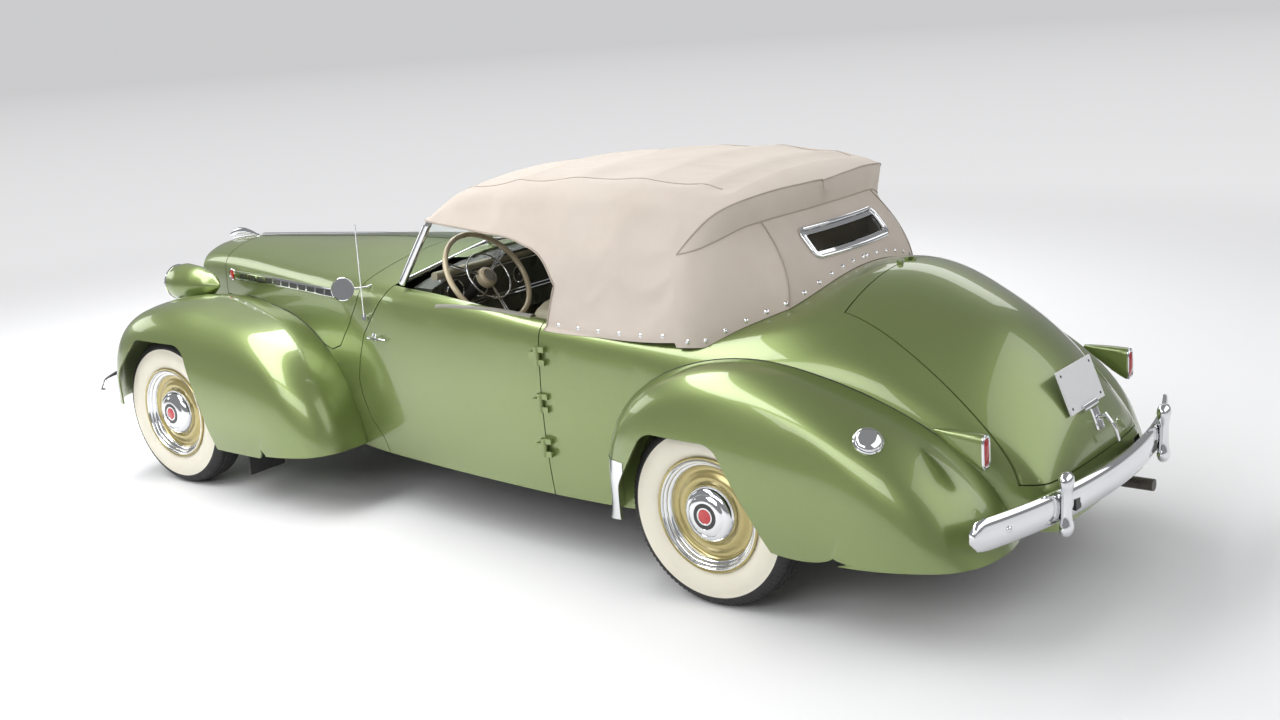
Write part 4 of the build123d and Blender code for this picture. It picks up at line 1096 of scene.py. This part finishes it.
# Snaps: small turned brass studs, chromed, pressed through the hem about every ten centimetres.
# Each has a flat washer and a domed cap.
studs = bpy.data.node_groups.new("studded", "GeometryNodeTree")
for label, kind in (("Geometry", "Geometry"), ("Stud", "Object"), ("Finish", "Material")):
    studs.interface.new_socket(name=label, in_out="INPUT", socket_type=f"NodeSocket{kind}")
studs.interface.new_socket(name="Geometry", in_out="OUTPUT", socket_type="NodeSocketGeometry")
given, put = studs.nodes.new("NodeGroupInput"), studs.nodes.new("NodeGroupOutput")
stud_info = studs.nodes.new("GeometryNodeObjectInfo")
facing = studs.nodes.new("GeometryNodeInputNamedAttribute")
facing.data_type = "FLOAT_VECTOR"
facing.inputs["Name"].default_value = "outward"
align = studs.nodes.new("FunctionNodeAlignRotationToVector")
align.axis = "Z"
spread = studs.nodes.new("GeometryNodeInstanceOnPoints")
real = studs.nodes.new("GeometryNodeRealizeInstances")
coat = studs.nodes.new("GeometryNodeSetMaterial")
wire(studs, (given, "Geometry", spread, "Points"), (given, "Stud", stud_info, "Object"),
     (stud_info, "Geometry", spread, "Instance"), (facing, "Attribute", align, "Vector"),
     (align, "Rotation", spread, "Rotation"), (spread, "Instances", real, "Geometry"),
     (real, "Geometry", coat, "Geometry"), (given, "Finish", coat, "Material"),
     (coat, "Geometry", put, "Geometry"))


def studded(name, places, profile, material, body, steps=16):
    """Row of like fastenings: places is a list of (point, outward direction)."""
    stud_mesh = mesh_of("stud", *turned(profile, (0, 0, 0), (0, 0, 1), steps), crease=40)
    stud = bpy.data.objects.new("stud", stud_mesh)
    bpy.context.scene.collection.objects.link(stud)
    mesh = bpy.data.meshes.new(name)
    mesh.from_pydata([p for p, way in places], [], [])
    outward = mesh.attributes.new("outward", "FLOAT_VECTOR", "POINT")
    outward.data.foreach_set("vector", [c for p, way in places for c in way])
    row = bpy.data.objects.new(name, mesh)
    bpy.context.scene.collection.objects.link(row)
    spreader = row.modifiers.new("studded", "NODES")
    spreader.node_group = studs
    sockets = {item.name: item.identifier for item in studs.interface.items_tree if item.in_out == "INPUT"}
    spreader[sockets["Stud"]] = stud
    spreader[sockets["Finish"]] = material
    made = bpy.data.meshes.new_from_object(row.evaluated_get(bpy.context.evaluated_depsgraph_get()))
    bpy.data.objects.remove(row)
    bpy.data.objects.remove(stud)
    made.name = name
    if not len(made.materials):
        made.materials.append(material)
    obj = bpy.data.objects.new(name, made)
    bpy.context.scene.collection.objects.link(obj)
    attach(obj, body)
    return obj


snap_profile = [(0.0, -0.002), (0.0095, -0.002), (0.0095, 0.0006), (0.0072, 0.0014), (0.0060, 0.0034),
                (0.0036, 0.0046), (0.0, 0.0050)]
snap_rise = 26.0
snaps = []
for side in (1, -1):
    for x in np.arange(760, 200, -104):
        hem = float(eased(hem_line, x)[0]) + snap_rise
        hit = roof_skin.ray_cast(spot(x, side * 1100, hem), Vector((0, -side, 0)), 0.8)
        if hit[0] is not None:
            snaps.append((hit[0], Vector((0, side, 0.05)).normalized()))
    for share in np.linspace(0.07, 0.985, 12):
        hem = np.interp(share, shares, hems) + snap_rise * 0.9
        here = on_curtain(share, hem, side, 0.5)
        away = on_curtain(share, hem, side, 20) - here
        above = on_curtain(share, hem + 10, side, 0.5) - on_curtain(share, hem - 10, side, 0.5)
        away = away - above * (away.dot(above) / above.length_squared)
        snaps.append((here, away.normalized()))
studded("hem_snaps", snaps, snap_profile, chrome, "body")

# Bumpers: spring-steel blades, chromed, with a rounded face, bowed to the body's plan.
# Each hangs on two black brackets, carries two tall cast guards and has a domed bolt near each end.
blade_section = [(-0.0240, -0.0560), (-0.0150, -0.0575), (-0.0065, -0.0500), (-0.0025, -0.0330),
                 (0.0, -0.0110), (0.0, 0.0110), (-0.0025, 0.0330), (-0.0065, 0.0500), (-0.0150, 0.0575),
                 (-0.0240, 0.0560), (-0.0260, 0.0300), (-0.0240, 0.0), (-0.0260, -0.0300)]
# Columns: half width, half depth, height
guard_rows = [(0.002, 0.002, -0.110), (0.020, 0.014, -0.107), (0.032, 0.021, -0.096), (0.037, 0.024, -0.080),
              (0.033, 0.022, -0.064), (0.026, 0.019, -0.050), (0.023, 0.018, -0.030), (0.022, 0.018, 0.0),
              (0.023, 0.018, 0.030), (0.026, 0.019, 0.050), (0.033, 0.023, 0.066), (0.038, 0.026, 0.084),
              (0.034, 0.024, 0.102), (0.022, 0.016, 0.115), (0.002, 0.002, 0.120)]
dome_profile = [(0.0, -0.004), (0.013, -0.004), (0.013, 0.001), (0.0115, 0.005), (0.007, 0.008),
                (0.0, 0.0092)]


def blade(end_x, middle_x, z, half, steps=72):
    """Bowed blade whose corners are rounded off at both ends."""
    shares = np.linspace(0, 1, steps)
    turned_round = end_x > middle_x
    path = [spot(*arc_point((end_x, half), (middle_x, 0), (end_x, -half), t), z) for t in shares]
    if not turned_round:
        path.reverse()
    points, faces = swept(path, blade_section)
    width = len(blade_section)
    for i, t in enumerate(shares):
        near = min(t, 1 - t) * 2 * half
        squeeze = sqrt(max(0.0, 1 - (1 - near / 60) ** 2)) if near < 60 else 1.0
        for j in range(i * width, (i + 1) * width):
            rise = (points[j].z - z / 1000) * (0.35 + 0.65 * squeeze)
            points[j] = Vector((points[j].x, points[j].y, z / 1000 + rise))
    return points, faces


def guard_part(x, y, z, steps=28):
    """Cast two-lobed guard standing on a blade."""
    points = []
    for wide, deep, rise in guard_rows:
        for k in range(steps):
            turn = 2 * pi * k / steps
            points.append(spot(x, y, z) + Vector((deep * cos(turn), wide * sin(turn), rise)))
    return points, tube_faces(len(guard_rows), steps)


def box_part(low, high):
    """Plain block between two corners in millimetres."""
    points = [spot(x, y, z) for x in (low[0], high[0]) for y in (low[1], high[1]) for z in (low[2], high[2])]
    faces = [(0, 1, 3, 2), (4, 6, 7, 5), (0, 4, 5, 1), (2, 3, 7, 6), (0, 2, 6, 4), (1, 5, 7, 3)]
    return points, faces


rear_parts = [(*blade(-1090, -1249, 462, 880), 0)]
front_parts = [(*blade(3760, 4074, 422, 880), 0)]
for side in (1, -1):
    rear_parts.append((*guard_part(-1222, side * 457, 471), 0))
    front_parts.append((*guard_part(4046, side * 313, 440), 0))
    rear_parts.append((*box_part((-1225, side * 360 - 22, 428), (-1101, side * 360 + 22, 468)), 1))
    front_parts.append((*box_part((3641, side * 147 - 22, 358), (4050, side * 147 + 22, 392)), 1))
assembled("rear_bumper_chrome", rear_parts, [chrome, chassis_black], "body", crease=50)
assembled("front_bumper_chrome", front_parts, [chrome, chassis_black], "body", crease=50)
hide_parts("rear_bumper")
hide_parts("front_bumper")
bolts = []
for y in (730, -730):
    x = arc_point((-1090, 880), (-1249, 0), (-1090, -880), (880 - y) / 1760)[0]
    bolts.append((spot(x, y, 462), Vector((-1, 0.22 * y / 880, 0)).normalized()))
    x = arc_point((3760, 880), (4074, 0), (3760, -880), (880 - y) / 1760)[0]
    bolts.append((spot(x, y, 422), Vector((1, 0.4 * y / 880, 0)).normalized()))
studded("bumper_bolts", bolts, dome_profile, chrome, "body")

# Tail lamps: sage pods drawn out along the fender crests, each with a red glass in a chrome ring.
# The ring is screwed to the open rear end of the pod.
lens_red = mottled("lens_red", (0.42, 0.012, 0.014), (0.30, 0.008, 0.01), 60.0, 0.06, 0.14, 0.08, coat=1.0)
# Columns in millimetres: station, foot, top, half width
pod_rows = [(-1014, 624, 744, 25), (-1006, 622, 746, 27), (-985, 632, 747, 27), (-950, 652, 748, 26),
            (-915, 676, 748, 24), (-880, 700, 747, 21), (-850, 720, 746, 15), (-830, 733, 744, 8)]
pod_steps = 36
pod_square = 0.55
lamp_parts = []
for side in (1, -1):
    pod = []
    for x, foot, top, wide in pod_rows:
        for k in range(pod_steps):
            turn = 2 * pi * k / pod_steps
            u = (1 if cos(turn) > 0 else -1) * abs(cos(turn)) ** pod_square
            v = (1 if sin(turn) > 0 else -1) * abs(sin(turn)) ** pod_square
            pod.append(spot(x, side * (640 + wide * u), (foot + top) / 2 + (top - foot) / 2 * v))
    skin = tube_faces(len(pod_rows), pod_steps, capped=False)
    skin.append(tuple(range(len(pod) - pod_steps, len(pod))))
    lamp_parts.append((pod, skin, 0))
    middle = spot(-1014, side * 640, 684)
    bezel, lens = [], []
    for share, out in ((1.02, 0.0), (1.02, 0.005), (0.92, 0.0085), (0.80, 0.006), (0.80, 0.0)):
        bezel.extend(middle + (p - middle) * share - Vector((out, 0, 0)) for p in pod[:pod_steps])
    for share, out in ((0.81, 0.003), (0.6, 0.009), (0.3, 0.0125), (0.0, 0.0135)):
        lens.extend(middle + (p - middle) * share - Vector((out, 0, 0)) for p in pod[:pod_steps])
    for ring, rows, finish in ((bezel, 5, 1), (lens, 4, 2)):
        lamp_parts.append((ring, tube_faces(rows, pod_steps, capped=False), finish))
assembled("tail_lamp_pods", lamp_parts, [sage, chrome, lens_red], "body", crease=50)
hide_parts("tail_lamps")


# Fender fittings: bright stone guards on the rear fenders' leading edges, welting and a domed filler lid.
# The guards are pressed to the fender's curve; black welting is squeezed into the joint with the body.
def skin_of(*nodes):
    """Search tree over the surfaces of some carried-over solids."""
    points, faces = [], []
    for node in nodes:
        place, tri = node_points(node)
        faces.extend((tri + len(points)).tolist())
        points.extend(place.tolist())
    return BVHTree.FromPolygons(points, faces)


def landing(tree, start, way):
    """Point and outward normal where a line from start first meets a skin."""
    hit, normal = tree.ray_cast(start, Vector(way).normalized(), 3.0)[:2]
    if hit is None:
        return None
    if normal.dot(Vector(way)) > 0:
        normal = -normal
    return hit, normal


def fitted_patch(name, source, keep, lift, material, body):
    """Cover cut from a panel's outer skin by planes (point, normal to the dropped side) and lifted off it."""
    bm = bmesh.new()
    bm.from_mesh(source)
    for point, drop in keep:
        geometry = bm.verts[:] + bm.edges[:] + bm.faces[:]
        bmesh.ops.bisect_plane(bm, geom=geometry, plane_co=point, plane_no=drop, clear_outer=True)
    away = [f for f in bm.faces
            if f.normal.y * (1 if f.calc_center_median().y > 0 else -1) < 0.12 and f.normal.x < 0.25]
    bmesh.ops.delete(bm, geom=away, context="FACES")
    bm.normal_update()
    for v in bm.verts:
        v.co = v.co + v.normal * lift
    mesh = bpy.data.meshes.new(name)
    bm.to_mesh(mesh)
    bm.free()
    mesh.materials.clear()
    mesh.shade_smooth()
    return piece(name, mesh, material, body)


for side, label in ((1, "left"), (-1, "right")):
    source = bpy.data.objects[f"rear_fender_{label}_skin"].data
    keep = [(spot(0, 0, 531), (0, 0, 1)), (spot(0, 0, 279), (0, 0, -1)), (spot(340, 0, 0), (-1, 0, 0))]
    fitted_patch(f"stone_guard_{label}", source, keep, 0.0025, chrome, "body")
fender_left = skin_of("rear_fender_left")
cap_place = landing(fender_left, spot(-676, 1300, 731), (0, -1, 0))
cap_profile = [(0.0, -0.012), (0.052, -0.012), (0.054, 0.001), (0.051, 0.0055), (0.047, 0.0045),
               (0.045, 0.009), (0.036, 0.0155), (0.022, 0.0195), (0.0, 0.021)]
if cap_place:
    assembled("fuel_cap", [(*turned(cap_profile, *cap_place, 48), 0)], [chrome], "body")


def joint_line(fender, wall):
    """Upper line where a fender meets the body, found as its points closest to the body's skin."""
    points = node_points(fender)[0]
    close = {}
    for p in points:
        there = wall.find_nearest(Vector(p), 0.006)
        if there[0] is not None:
            slot_number = int(round(p[0] / 0.03))
            if slot_number not in close or p[2] > close[slot_number][2]:
                close[slot_number] = p
    return [Vector(close[k]) for k in sorted(close)]


body_wall = skin_of("tub", "door_left", "door_right", "cowl", "engine_aprons", "hood_left", "hood_right")
welts = []
for node in ("rear_fender_left", "rear_fender_right", "front_fender_left", "front_fender_right"):
    line = joint_line(node, body_wall)
    if len(line) > 6:
        smooth = []
        for i in range(len(line)):
            near = line[max(0, i - 2):i + 3]
            smooth.append(sum(near, Vector()) / len(near))
        welts.append((*swept(smooth, rounded(0.0035, 8)), 0))
if welts:
    assembled("fender_welting", welts, [rubber_black], "body")

# Hood sides: a chrome louver strip whose open slots are drawn as black bars of painted shade, ending in a
# spear, and a plain red badge ahead of it.
# The strip is pressed brass, plated, clipped through the hood side; a small latch sits below its middle.
slot_count = 11
strip_section = [(-0.006, -0.021), (0.003, -0.021), (0.0062, -0.0185), (0.0068, -0.0150), (0.0068, 0.0150),
                 (0.0062, 0.0185), (0.003, 0.021), (-0.006, 0.021)]
slot_section = [(0.0, -0.0125), (0.0072, -0.0125), (0.0072, 0.0125), (0.0, 0.0125)]


strip_lift = 0.003


def softened(run, passes=3):
    """Run of (place, outward normal) pairs with its small steps averaged out; the end places stay."""
    for turn in range(passes):
        spans = [run[max(0, i - 2):i + 3] for i in range(len(run))]
        mean = [sum((place for place, away in span), Vector()) / len(span) for span in spans]
        ways = [sum((away for place, away in span), Vector()).normalized() for span in spans]
        run = [(mean[i] if 2 <= i < len(run) - 2 else run[i][0], ways[i]) for i in range(len(run))]
    return run


def laid(run, section, side):
    """Section carried along a run of (place, outward normal) with its back to the skin."""
    points = []
    for i, (place, away) in enumerate(run):
        along = (run[min(i + 1, len(run) - 1)][0] - run[max(i - 1, 0)][0]).normalized()
        rise = (away.cross(along) * (1 if side > 0 else -1)).normalized()
        points.extend(place + away * u + rise * v for u, v in section)
    return points, tube_faces(len(run), len(section))


for side, label in ((1, "left"), (-1, "right")):
    hood = skin_of(f"hood_{label}")
    rail = []
    for t in np.linspace(0, 1, 56):
        place = landing(hood, spot(3291 - 1090 * t, side * 1100, 945 + 38 * t), (0, -side, 0))
        if place:
            rail.append(place)
    rail = [(place + away * strip_lift, away) for place, away in softened(rail)]
    if len(rail) < 8:
        continue
    parts = [(*laid(rail, strip_section, side), 0)]
    span = (len(rail) - 4) / slot_count
    # Each slot is a black bar laid just proud of the strip: painted shade standing in for the louver's opening.
    for k in range(slot_count):
        ends = [2 + span * (k + 0.09), 2 + span * (k + 0.5), 2 + span * (k + 0.91)]
        run_slot = []
        for at in ends:
            low = min(int(at), len(rail) - 2)
            run_slot.append((rail[low][0].lerp(rail[low + 1][0], at - low), rail[low][1]))
        parts.append((*laid(run_slot, slot_section, side), 1))
    spear = [rail[-1]]
    for t in np.linspace(0.02, 0.28, 8):
        place = landing(hood, spot(2201 - 160 * t, side * 1100, 983 + 6 * t), (0, -side, 0))
        if place:
            spear.append(place)
    if len(spear) > 2:
        spear_section = [(-0.003, -0.006), (0.0045, -0.004), (0.0045, 0.004), (-0.003, 0.006)]
        parts.append((*laid(spear, spear_section, side), 0))
    badge = landing(hood, spot(3345, side * 1100, 943), (0, -side, 0))
    if badge:
        ring = [(0.0, -0.004), (0.030, -0.004), (0.030, 0.004), (0.026, 0.006), (0.0245, 0.0045)]
        enamel = [(0.0245, 0.0045), (0.014, 0.0062), (0.0, 0.0068)]
        parts.append((*turned(ring, badge[0], badge[1], 40), 0))
        parts.append((*turned(enamel, badge[0], badge[1], 40), 2))
    latch = landing(hood, spot(2666, side * 1100, 800), (0, -side, 0))
    if latch:
        knob = [(0.0, -0.004), (0.022, -0.004), (0.020, 0.006), (0.010, 0.010), (0.0, 0.011)]
        parts.append((*turned(knob, *latch, 28), 0))
        grip = [latch[0] + latch[1] * 0.012 + Vector((dx, 0, 0)) for dx in (-0.045, -0.02, 0.02, 0.045)]
        parts.append((*swept(grip, rounded(0.006, 8, 0.7)), 0))
    assembled(f"hood_trim_{label}", parts, [chrome, cap_black, boss_red], f"hood_{label}")

# Door furniture: chrome pull handles near the leading edge of each rear-hinged door, and a gray sill garnish.
# The handle turns on a round rose; the garnish is a wood-backed moulding along the window sill.
garnish_gray = mottled("garnish_gray", (0.30, 0.29, 0.25), (0.24, 0.235, 0.2), 25.0, 0.35, 0.5, 0.05)
rose = [(0.0, -0.004), (0.019, -0.004), (0.019, 0.003), (0.014, 0.007), (0.009, 0.009), (0.008, 0.026),
        (0.0, 0.027)]
# Columns: forward, out from the door, up
grip_run = [(0.012, 0.024, 0.0), (0.0, 0.029, 0.0005), (-0.03, 0.032, 0.001), (-0.07, 0.030, 0.0),
            (-0.098, 0.024, -0.002)]
sill_section = [(-0.018, -0.006), (0.018, -0.006), (0.016, 0.003), (0.008, 0.006), (-0.008, 0.006),
                (-0.016, 0.003)]
for side, label in ((1, "left"), (-1, "right")):
    door = skin_of(f"door_{label}")
    place = landing(door, spot(1912, side * 1200, 822), (0, -side, 0))
    if place:
        grip = [place[0] + place[1] * lift + Vector((dx, 0, dz)) for dx, lift, dz in grip_run]
        handle_parts = [(*turned(rose, *place, 24), 0), (*swept(grip, rounded(0.0085, 10, 0.65)), 0)]
        assembled(f"door_handle_{label}", handle_parts, [chrome], f"door_{label}")
    sill = []
    for x in np.linspace(890, 1600, 30):
        top = landing(door, spot(x, side * 690, 1300), (0, 0, -1))
        if top and top[0].z > 1.0:
            sill.append(top[0] + Vector((0, -side * 0.012, 0.001)))
    if len(sill) > 4:
        assembled(f"sill_garnish_{label}", [(*swept(sill, sill_section), 0)], [garnish_gray], f"door_{label}")

# Seats: sprung benches with pleated hide over horsehair, front and rear.
# The hide is stitched in upright pleats over rounded edges; the front bench stands on a black plinth.
hide = mottled("bench_hide", (0.36, 0.335, 0.235), (0.29, 0.27, 0.185), 90.0, 0.42, 0.58, 0.25)
pleat_pitch = 0.078
pleat_depth = 0.006


def pad_part(x0, x1, half, z0, z1, square=0.28, across=120, round_steps=96):
    """Stuffed bench with squared-off round edges and pleats across its width, sizes in millimetres."""
    low, high = spot(x0, -half, z0), spot(x1, half, z1)
    middle, size = (low + high) / 2, (high - low) / 2
    points = []
    for i in range(across + 1):
        v = -pi / 2 + pi * i / across
        reach = abs(cos(v)) ** square
        y = size.y * (1 if sin(v) > 0 else -1) * abs(sin(v)) ** square
        groove = pleat_depth * (abs(sin(pi * y / pleat_pitch)) ** 0.5 - 1)
        groove = groove * min(1.0, max(0.0, (size.y - abs(y)) / 0.08))
        for k in range(round_steps):
            u = 2 * pi * k / round_steps
            cx = (1 if cos(u) > 0 else -1) * abs(cos(u)) ** square
            cz = (1 if sin(u) > 0 else -1) * abs(sin(u)) ** square
            deep, tall = cx * (size.x * reach + groove), cz * (size.z * reach + groove)
            points.append(middle + Vector((deep, y, tall)))
    return points, tube_faces(across + 1, round_steps, capped=False)


front_pads = [(*pad_part(905, 1430, 600, 562, 736), 0), (*pad_part(902, 1038, 600, 604, 1034), 0),
              (*box_part((930, -520, 445), (1380, 520, 600)), 1)]
front_bench = assembled("front_bench", front_pads, [hide, floor_black], "body", crease=60)
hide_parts("front_seat")
rear_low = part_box("rear_seat")[0].z * 1000
rear_pads = [(*pad_part(292, 719, 560, rear_low + 1, 790), 0),
             (*pad_part(182, 318, 560, rear_low + 1, 1009), 0)]
rear_bench = assembled("rear_bench", rear_pads, [hide], "body", crease=60)
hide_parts("rear_seat")

# Steering wheel: a cream moulded rim on three pairs of sprung chrome spokes, with a chrome horn ring.
# It is keyed to the column behind the dash.
rim_cream = mottled("rim_cream", (0.62, 0.53, 0.36), (0.52, 0.43, 0.28), 18.0, 0.18, 0.3, 0.03, coat=0.6)
column_foot, wheel_hub = spot(2172, 380, 558.7), spot(1455, 380, 1072)
lean = (wheel_hub - column_foot).normalized()
wheel_right = Vector((0, 1, 0))
wheel_up = lean.cross(wheel_right)


def on_wheel(radius, turn, lift=0.0):
    """Point of the steering wheel's plane."""
    return wheel_hub + (wheel_right * cos(turn) + wheel_up * sin(turn)) * radius + lean * lift


def wheel_ring(radius, thick, lift, steps=96):
    """Round bar bent into a ring about the column."""
    path = [on_wheel(radius, 2 * pi * i / steps, lift) for i in range(steps)]
    return swept(path, rounded(thick, 12), up=lean, closed=True)


steer_parts = [(*wheel_ring(0.216, 0.0128, 0.0), 0), (*wheel_ring(0.112, 0.0042, 0.008), 1)]
for turn in (90, 210, 330):
    for offset in (-2.6, 2.6):
        turn_at = radians(turn + offset)
        spoke = [on_wheel(r, turn_at, -0.004) for r in (0.03, 0.09, 0.15, 0.214)]
        steer_parts.append((*swept(spoke, rounded(0.0034, 8), up=lean), 1))
hub_profile = [(0.0, -0.024), (0.046, -0.024), (0.046, 0.004), (0.040, 0.012), (0.030, 0.0155)]
steer_parts.append((*turned(hub_profile, wheel_hub, lean, 40), 0))
steer_parts.append((*turned([(0.030, 0.0155), (0.018, 0.0185), (0.0, 0.0195)], wheel_hub, lean, 40), 1))
steering = assembled("steering_wheel_rim", steer_parts, [rim_cream, chrome], "steering_wheel")
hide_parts("steering_wheel")

# Dash: a painted steel panel with round dials in chrome bezels, bright strips and a padded hide roll on top.
# The dials are clamped from behind.
dash_paint = mottled("dash_paint", (0.055, 0.062, 0.045), (0.04, 0.046, 0.033), 8.0, 0.25, 0.35, 0.02,
                     coat=0.6)
dial_face = mottled("dial_face", (0.012, 0.012, 0.012), (0.05, 0.05, 0.045), 160.0, 0.3, 0.4, 0.02)
dress("dashboard", dash_paint)
dash_parts = []
for y, radius in ((300, 0.055), (455, 0.055), (40, 0.042), (-300, 0.055)):
    origin = spot(1590, y, 1010)
    dash_parts.append((*turned([(0.0, -0.002), (radius, -0.002), (radius, 0.006), (radius - 0.004, 0.009),
                                (radius - 0.008, 0.006)], origin, (-1, 0, 0), 40), 0))
    dash_parts.append((*turned([(radius - 0.008, 0.004), (0.0, 0.004)], origin, (-1, 0, 0), 40), 1))
    dash_parts.append((*turned([(0.006, 0.004), (0.006, 0.008), (0.0, 0.009)], origin, (-1, 0, 0), 16), 0))
for z in (930, 945, 1075):
    dash_parts.append((*swept([spot(1589, y, z) for y in (540, 0, -540)], rounded(0.004, 8)), 0))
dash_parts.append((*swept([spot(1604, y, 1096) for y in np.linspace(556, -556, 20)], rounded(0.019, 16)), 2))
assembled("dash_fittings", dash_parts, [chrome, dial_face, hide], "body")

# Rear plate, lamp bracket and handle: a blank white plate on a chrome bracket above a curved lid handle.
# Four screws hold the plate; the handle's rose is bolted through the lid.
plate_white = mottled("plate_white", (0.72, 0.73, 0.74), (0.66, 0.67, 0.68), 20.0, 0.3, 0.42, 0.02)
dress("number_plate", plate_white)
plate_up = Vector((60, 0, 152)).normalized()
plate_out = Vector((-152, 0, 60)).normalized()
plate_middle = spot(-1082, 0, 766)
screws = [(plate_middle + Vector((0, y, 0)) + plate_up * rise, plate_out)
          for y in (-0.125, 0.125) for rise in (-0.062, 0.062)]
screw_profile = [(0.0, -0.002), (0.0055, -0.002), (0.0055, 0.0008), (0.004, 0.0022), (0.0, 0.0026)]
studded("plate_screws", screws, screw_profile, cap_black, "trunk_lid")
lid_skin = skin_of("trunk_lid")
rose_place = landing(lid_skin, spot(-1500, -38, 636), (1, 0, 0))
if rose_place:
    foot, away = rose_place
    lid_up = (Vector((0, 0, 1)) - away * away.z).normalized()
    handle_parts = []
    pad_section = [(-0.028, -0.004), (0.028, -0.004), (0.026, 0.006), (0.014, 0.011), (-0.014, 0.011),
                   (-0.026, 0.006)]
    pad_path = [foot + lid_up * rise for rise in (-0.040, 0.0, 0.040)]
    handle_parts.append((*swept(pad_path, pad_section, up=away), 0))
    stem = [foot + away * d for d in (0.0, 0.018, 0.036)]
    handle_parts.append((*swept(stem, rounded(0.010, 14), up=lid_up), 0))
    grip = []
    for t in np.linspace(0, 1, 16):
        bow, sweep = away * (0.036 + 0.012 * sin(pi * t)), Vector((0, -0.03 * t * t, 0))
        grip.append(foot + bow - lid_up * (0.115 * t - 0.012) + sweep)
    handle_parts.append((*swept(grip, rounded(0.0085, 12, 0.7), up=away), 0))
    lamp_path = [spot(-1108, y, 690) + plate_out * 0.004 for y in (-60, -20, 20, 60)]
    handle_parts.append((*swept(lamp_path, rounded(0.013, 14)), 0))
    assembled("lid_handle", handle_parts, [chrome], "trunk_lid", crease=55)

# Nose and cowl fittings: a streamlined ornament, lamp rims and glasses, and the outside mirror.
# All are die-cast and chromed; the mirror's arm is screwed to the cowl.
# Columns in millimetres: station, height, half width, half height
fin_rows = [(3708, 1080, 3, 3), (3690, 1086, 7, 9), (3660, 1098, 9, 17), (3620, 1106, 9, 19),
            (3570, 1108, 8, 17), (3520, 1102, 6, 12), (3474, 1094, 3, 5)]
fin_steps = 16
fin = []
for x, z, wide, tall in fin_rows:
    for k in range(fin_steps):
        turn = 2 * pi * k / fin_steps
        fin.append(spot(x, wide * cos(turn), z + tall * sin(turn)))
fin_faces = tube_faces(len(fin_rows), fin_steps)
shell_skin = skin_of("radiator_shell")
base = []
for x in np.linspace(3470, 3690, 12):
    top = landing(shell_skin, spot(x, 0, 1300), (0, 0, -1))
    if top:
        base.append(top[0] + Vector((0, 0, 0.004)))
fin_parts = [(fin, fin_faces, 0), (*swept(base, rounded(0.011, 12, 0.7)), 0)]
ornament = assembled("hood_ornament_fin", fin_parts, [chrome], "body", crease=55)
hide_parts("hood_ornament")
lamp_glass = mottled("lamp_glass", (0.62, 0.64, 0.62), (0.48, 0.5, 0.5), 90.0, 0.04, 0.1, 0.3, coat=1.0)
lamp_rim = [(0.085, -0.004), (0.0905, 0.0), (0.0905, 0.007), (0.086, 0.011), (0.081, 0.0105)]
lamp_dome = [(0.082, 0.009), (0.066, 0.0285), (0.045, 0.0375), (0.022, 0.0400), (0.0, 0.0405)]
lamp_parts = []
for side in (1, -1):
    origin = spot(3602, side * 430, 915)
    for profile, finish in ((lamp_rim, 0), (lamp_dome, 1)):
        lamp_parts.append((*turned(profile, origin, (1, 0, 0), 56), finish))
assembled("headlamp_rims", lamp_parts, [chrome, lamp_glass], "body")
mirror_glass = mottled("mirror_glass", (0.80, 0.82, 0.83), (0.76, 0.78, 0.8), 4.0, 0.01, 0.03, 0.0,
                       metallic=1.0)
mirror_face = Vector((-0.9, 0.42, 0.08)).normalized()
mirror_middle = spot(1992, 742, 1050)
cowl_skin = skin_of("cowl")
arm_foot = landing(cowl_skin, spot(1960, 600, 1300), (0, 0, -1))[0]
mirror_back = [(0.0, -0.016), (0.030, -0.014), (0.046, -0.006), (0.0525, 0.002), (0.051, 0.006), (0.048, 0.005)]
mirror_pane = [(0.048, 0.004), (0.0, 0.004)]
mirror_arm = [mirror_middle - mirror_face * 0.012, spot(1980, 690, 1042), spot(1966, 630, 1036), arm_foot]
mirror_parts = [(*turned(mirror_back, mirror_middle, mirror_face, 48), 0),
                (*turned(mirror_pane, mirror_middle, mirror_face, 48), 1),
                (*swept(mirror_arm, rounded(0.006, 10)), 0)]
mirror_piece = assembled("side_mirror_head", mirror_parts, [chrome, mirror_glass], "body")
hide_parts("side_mirror")
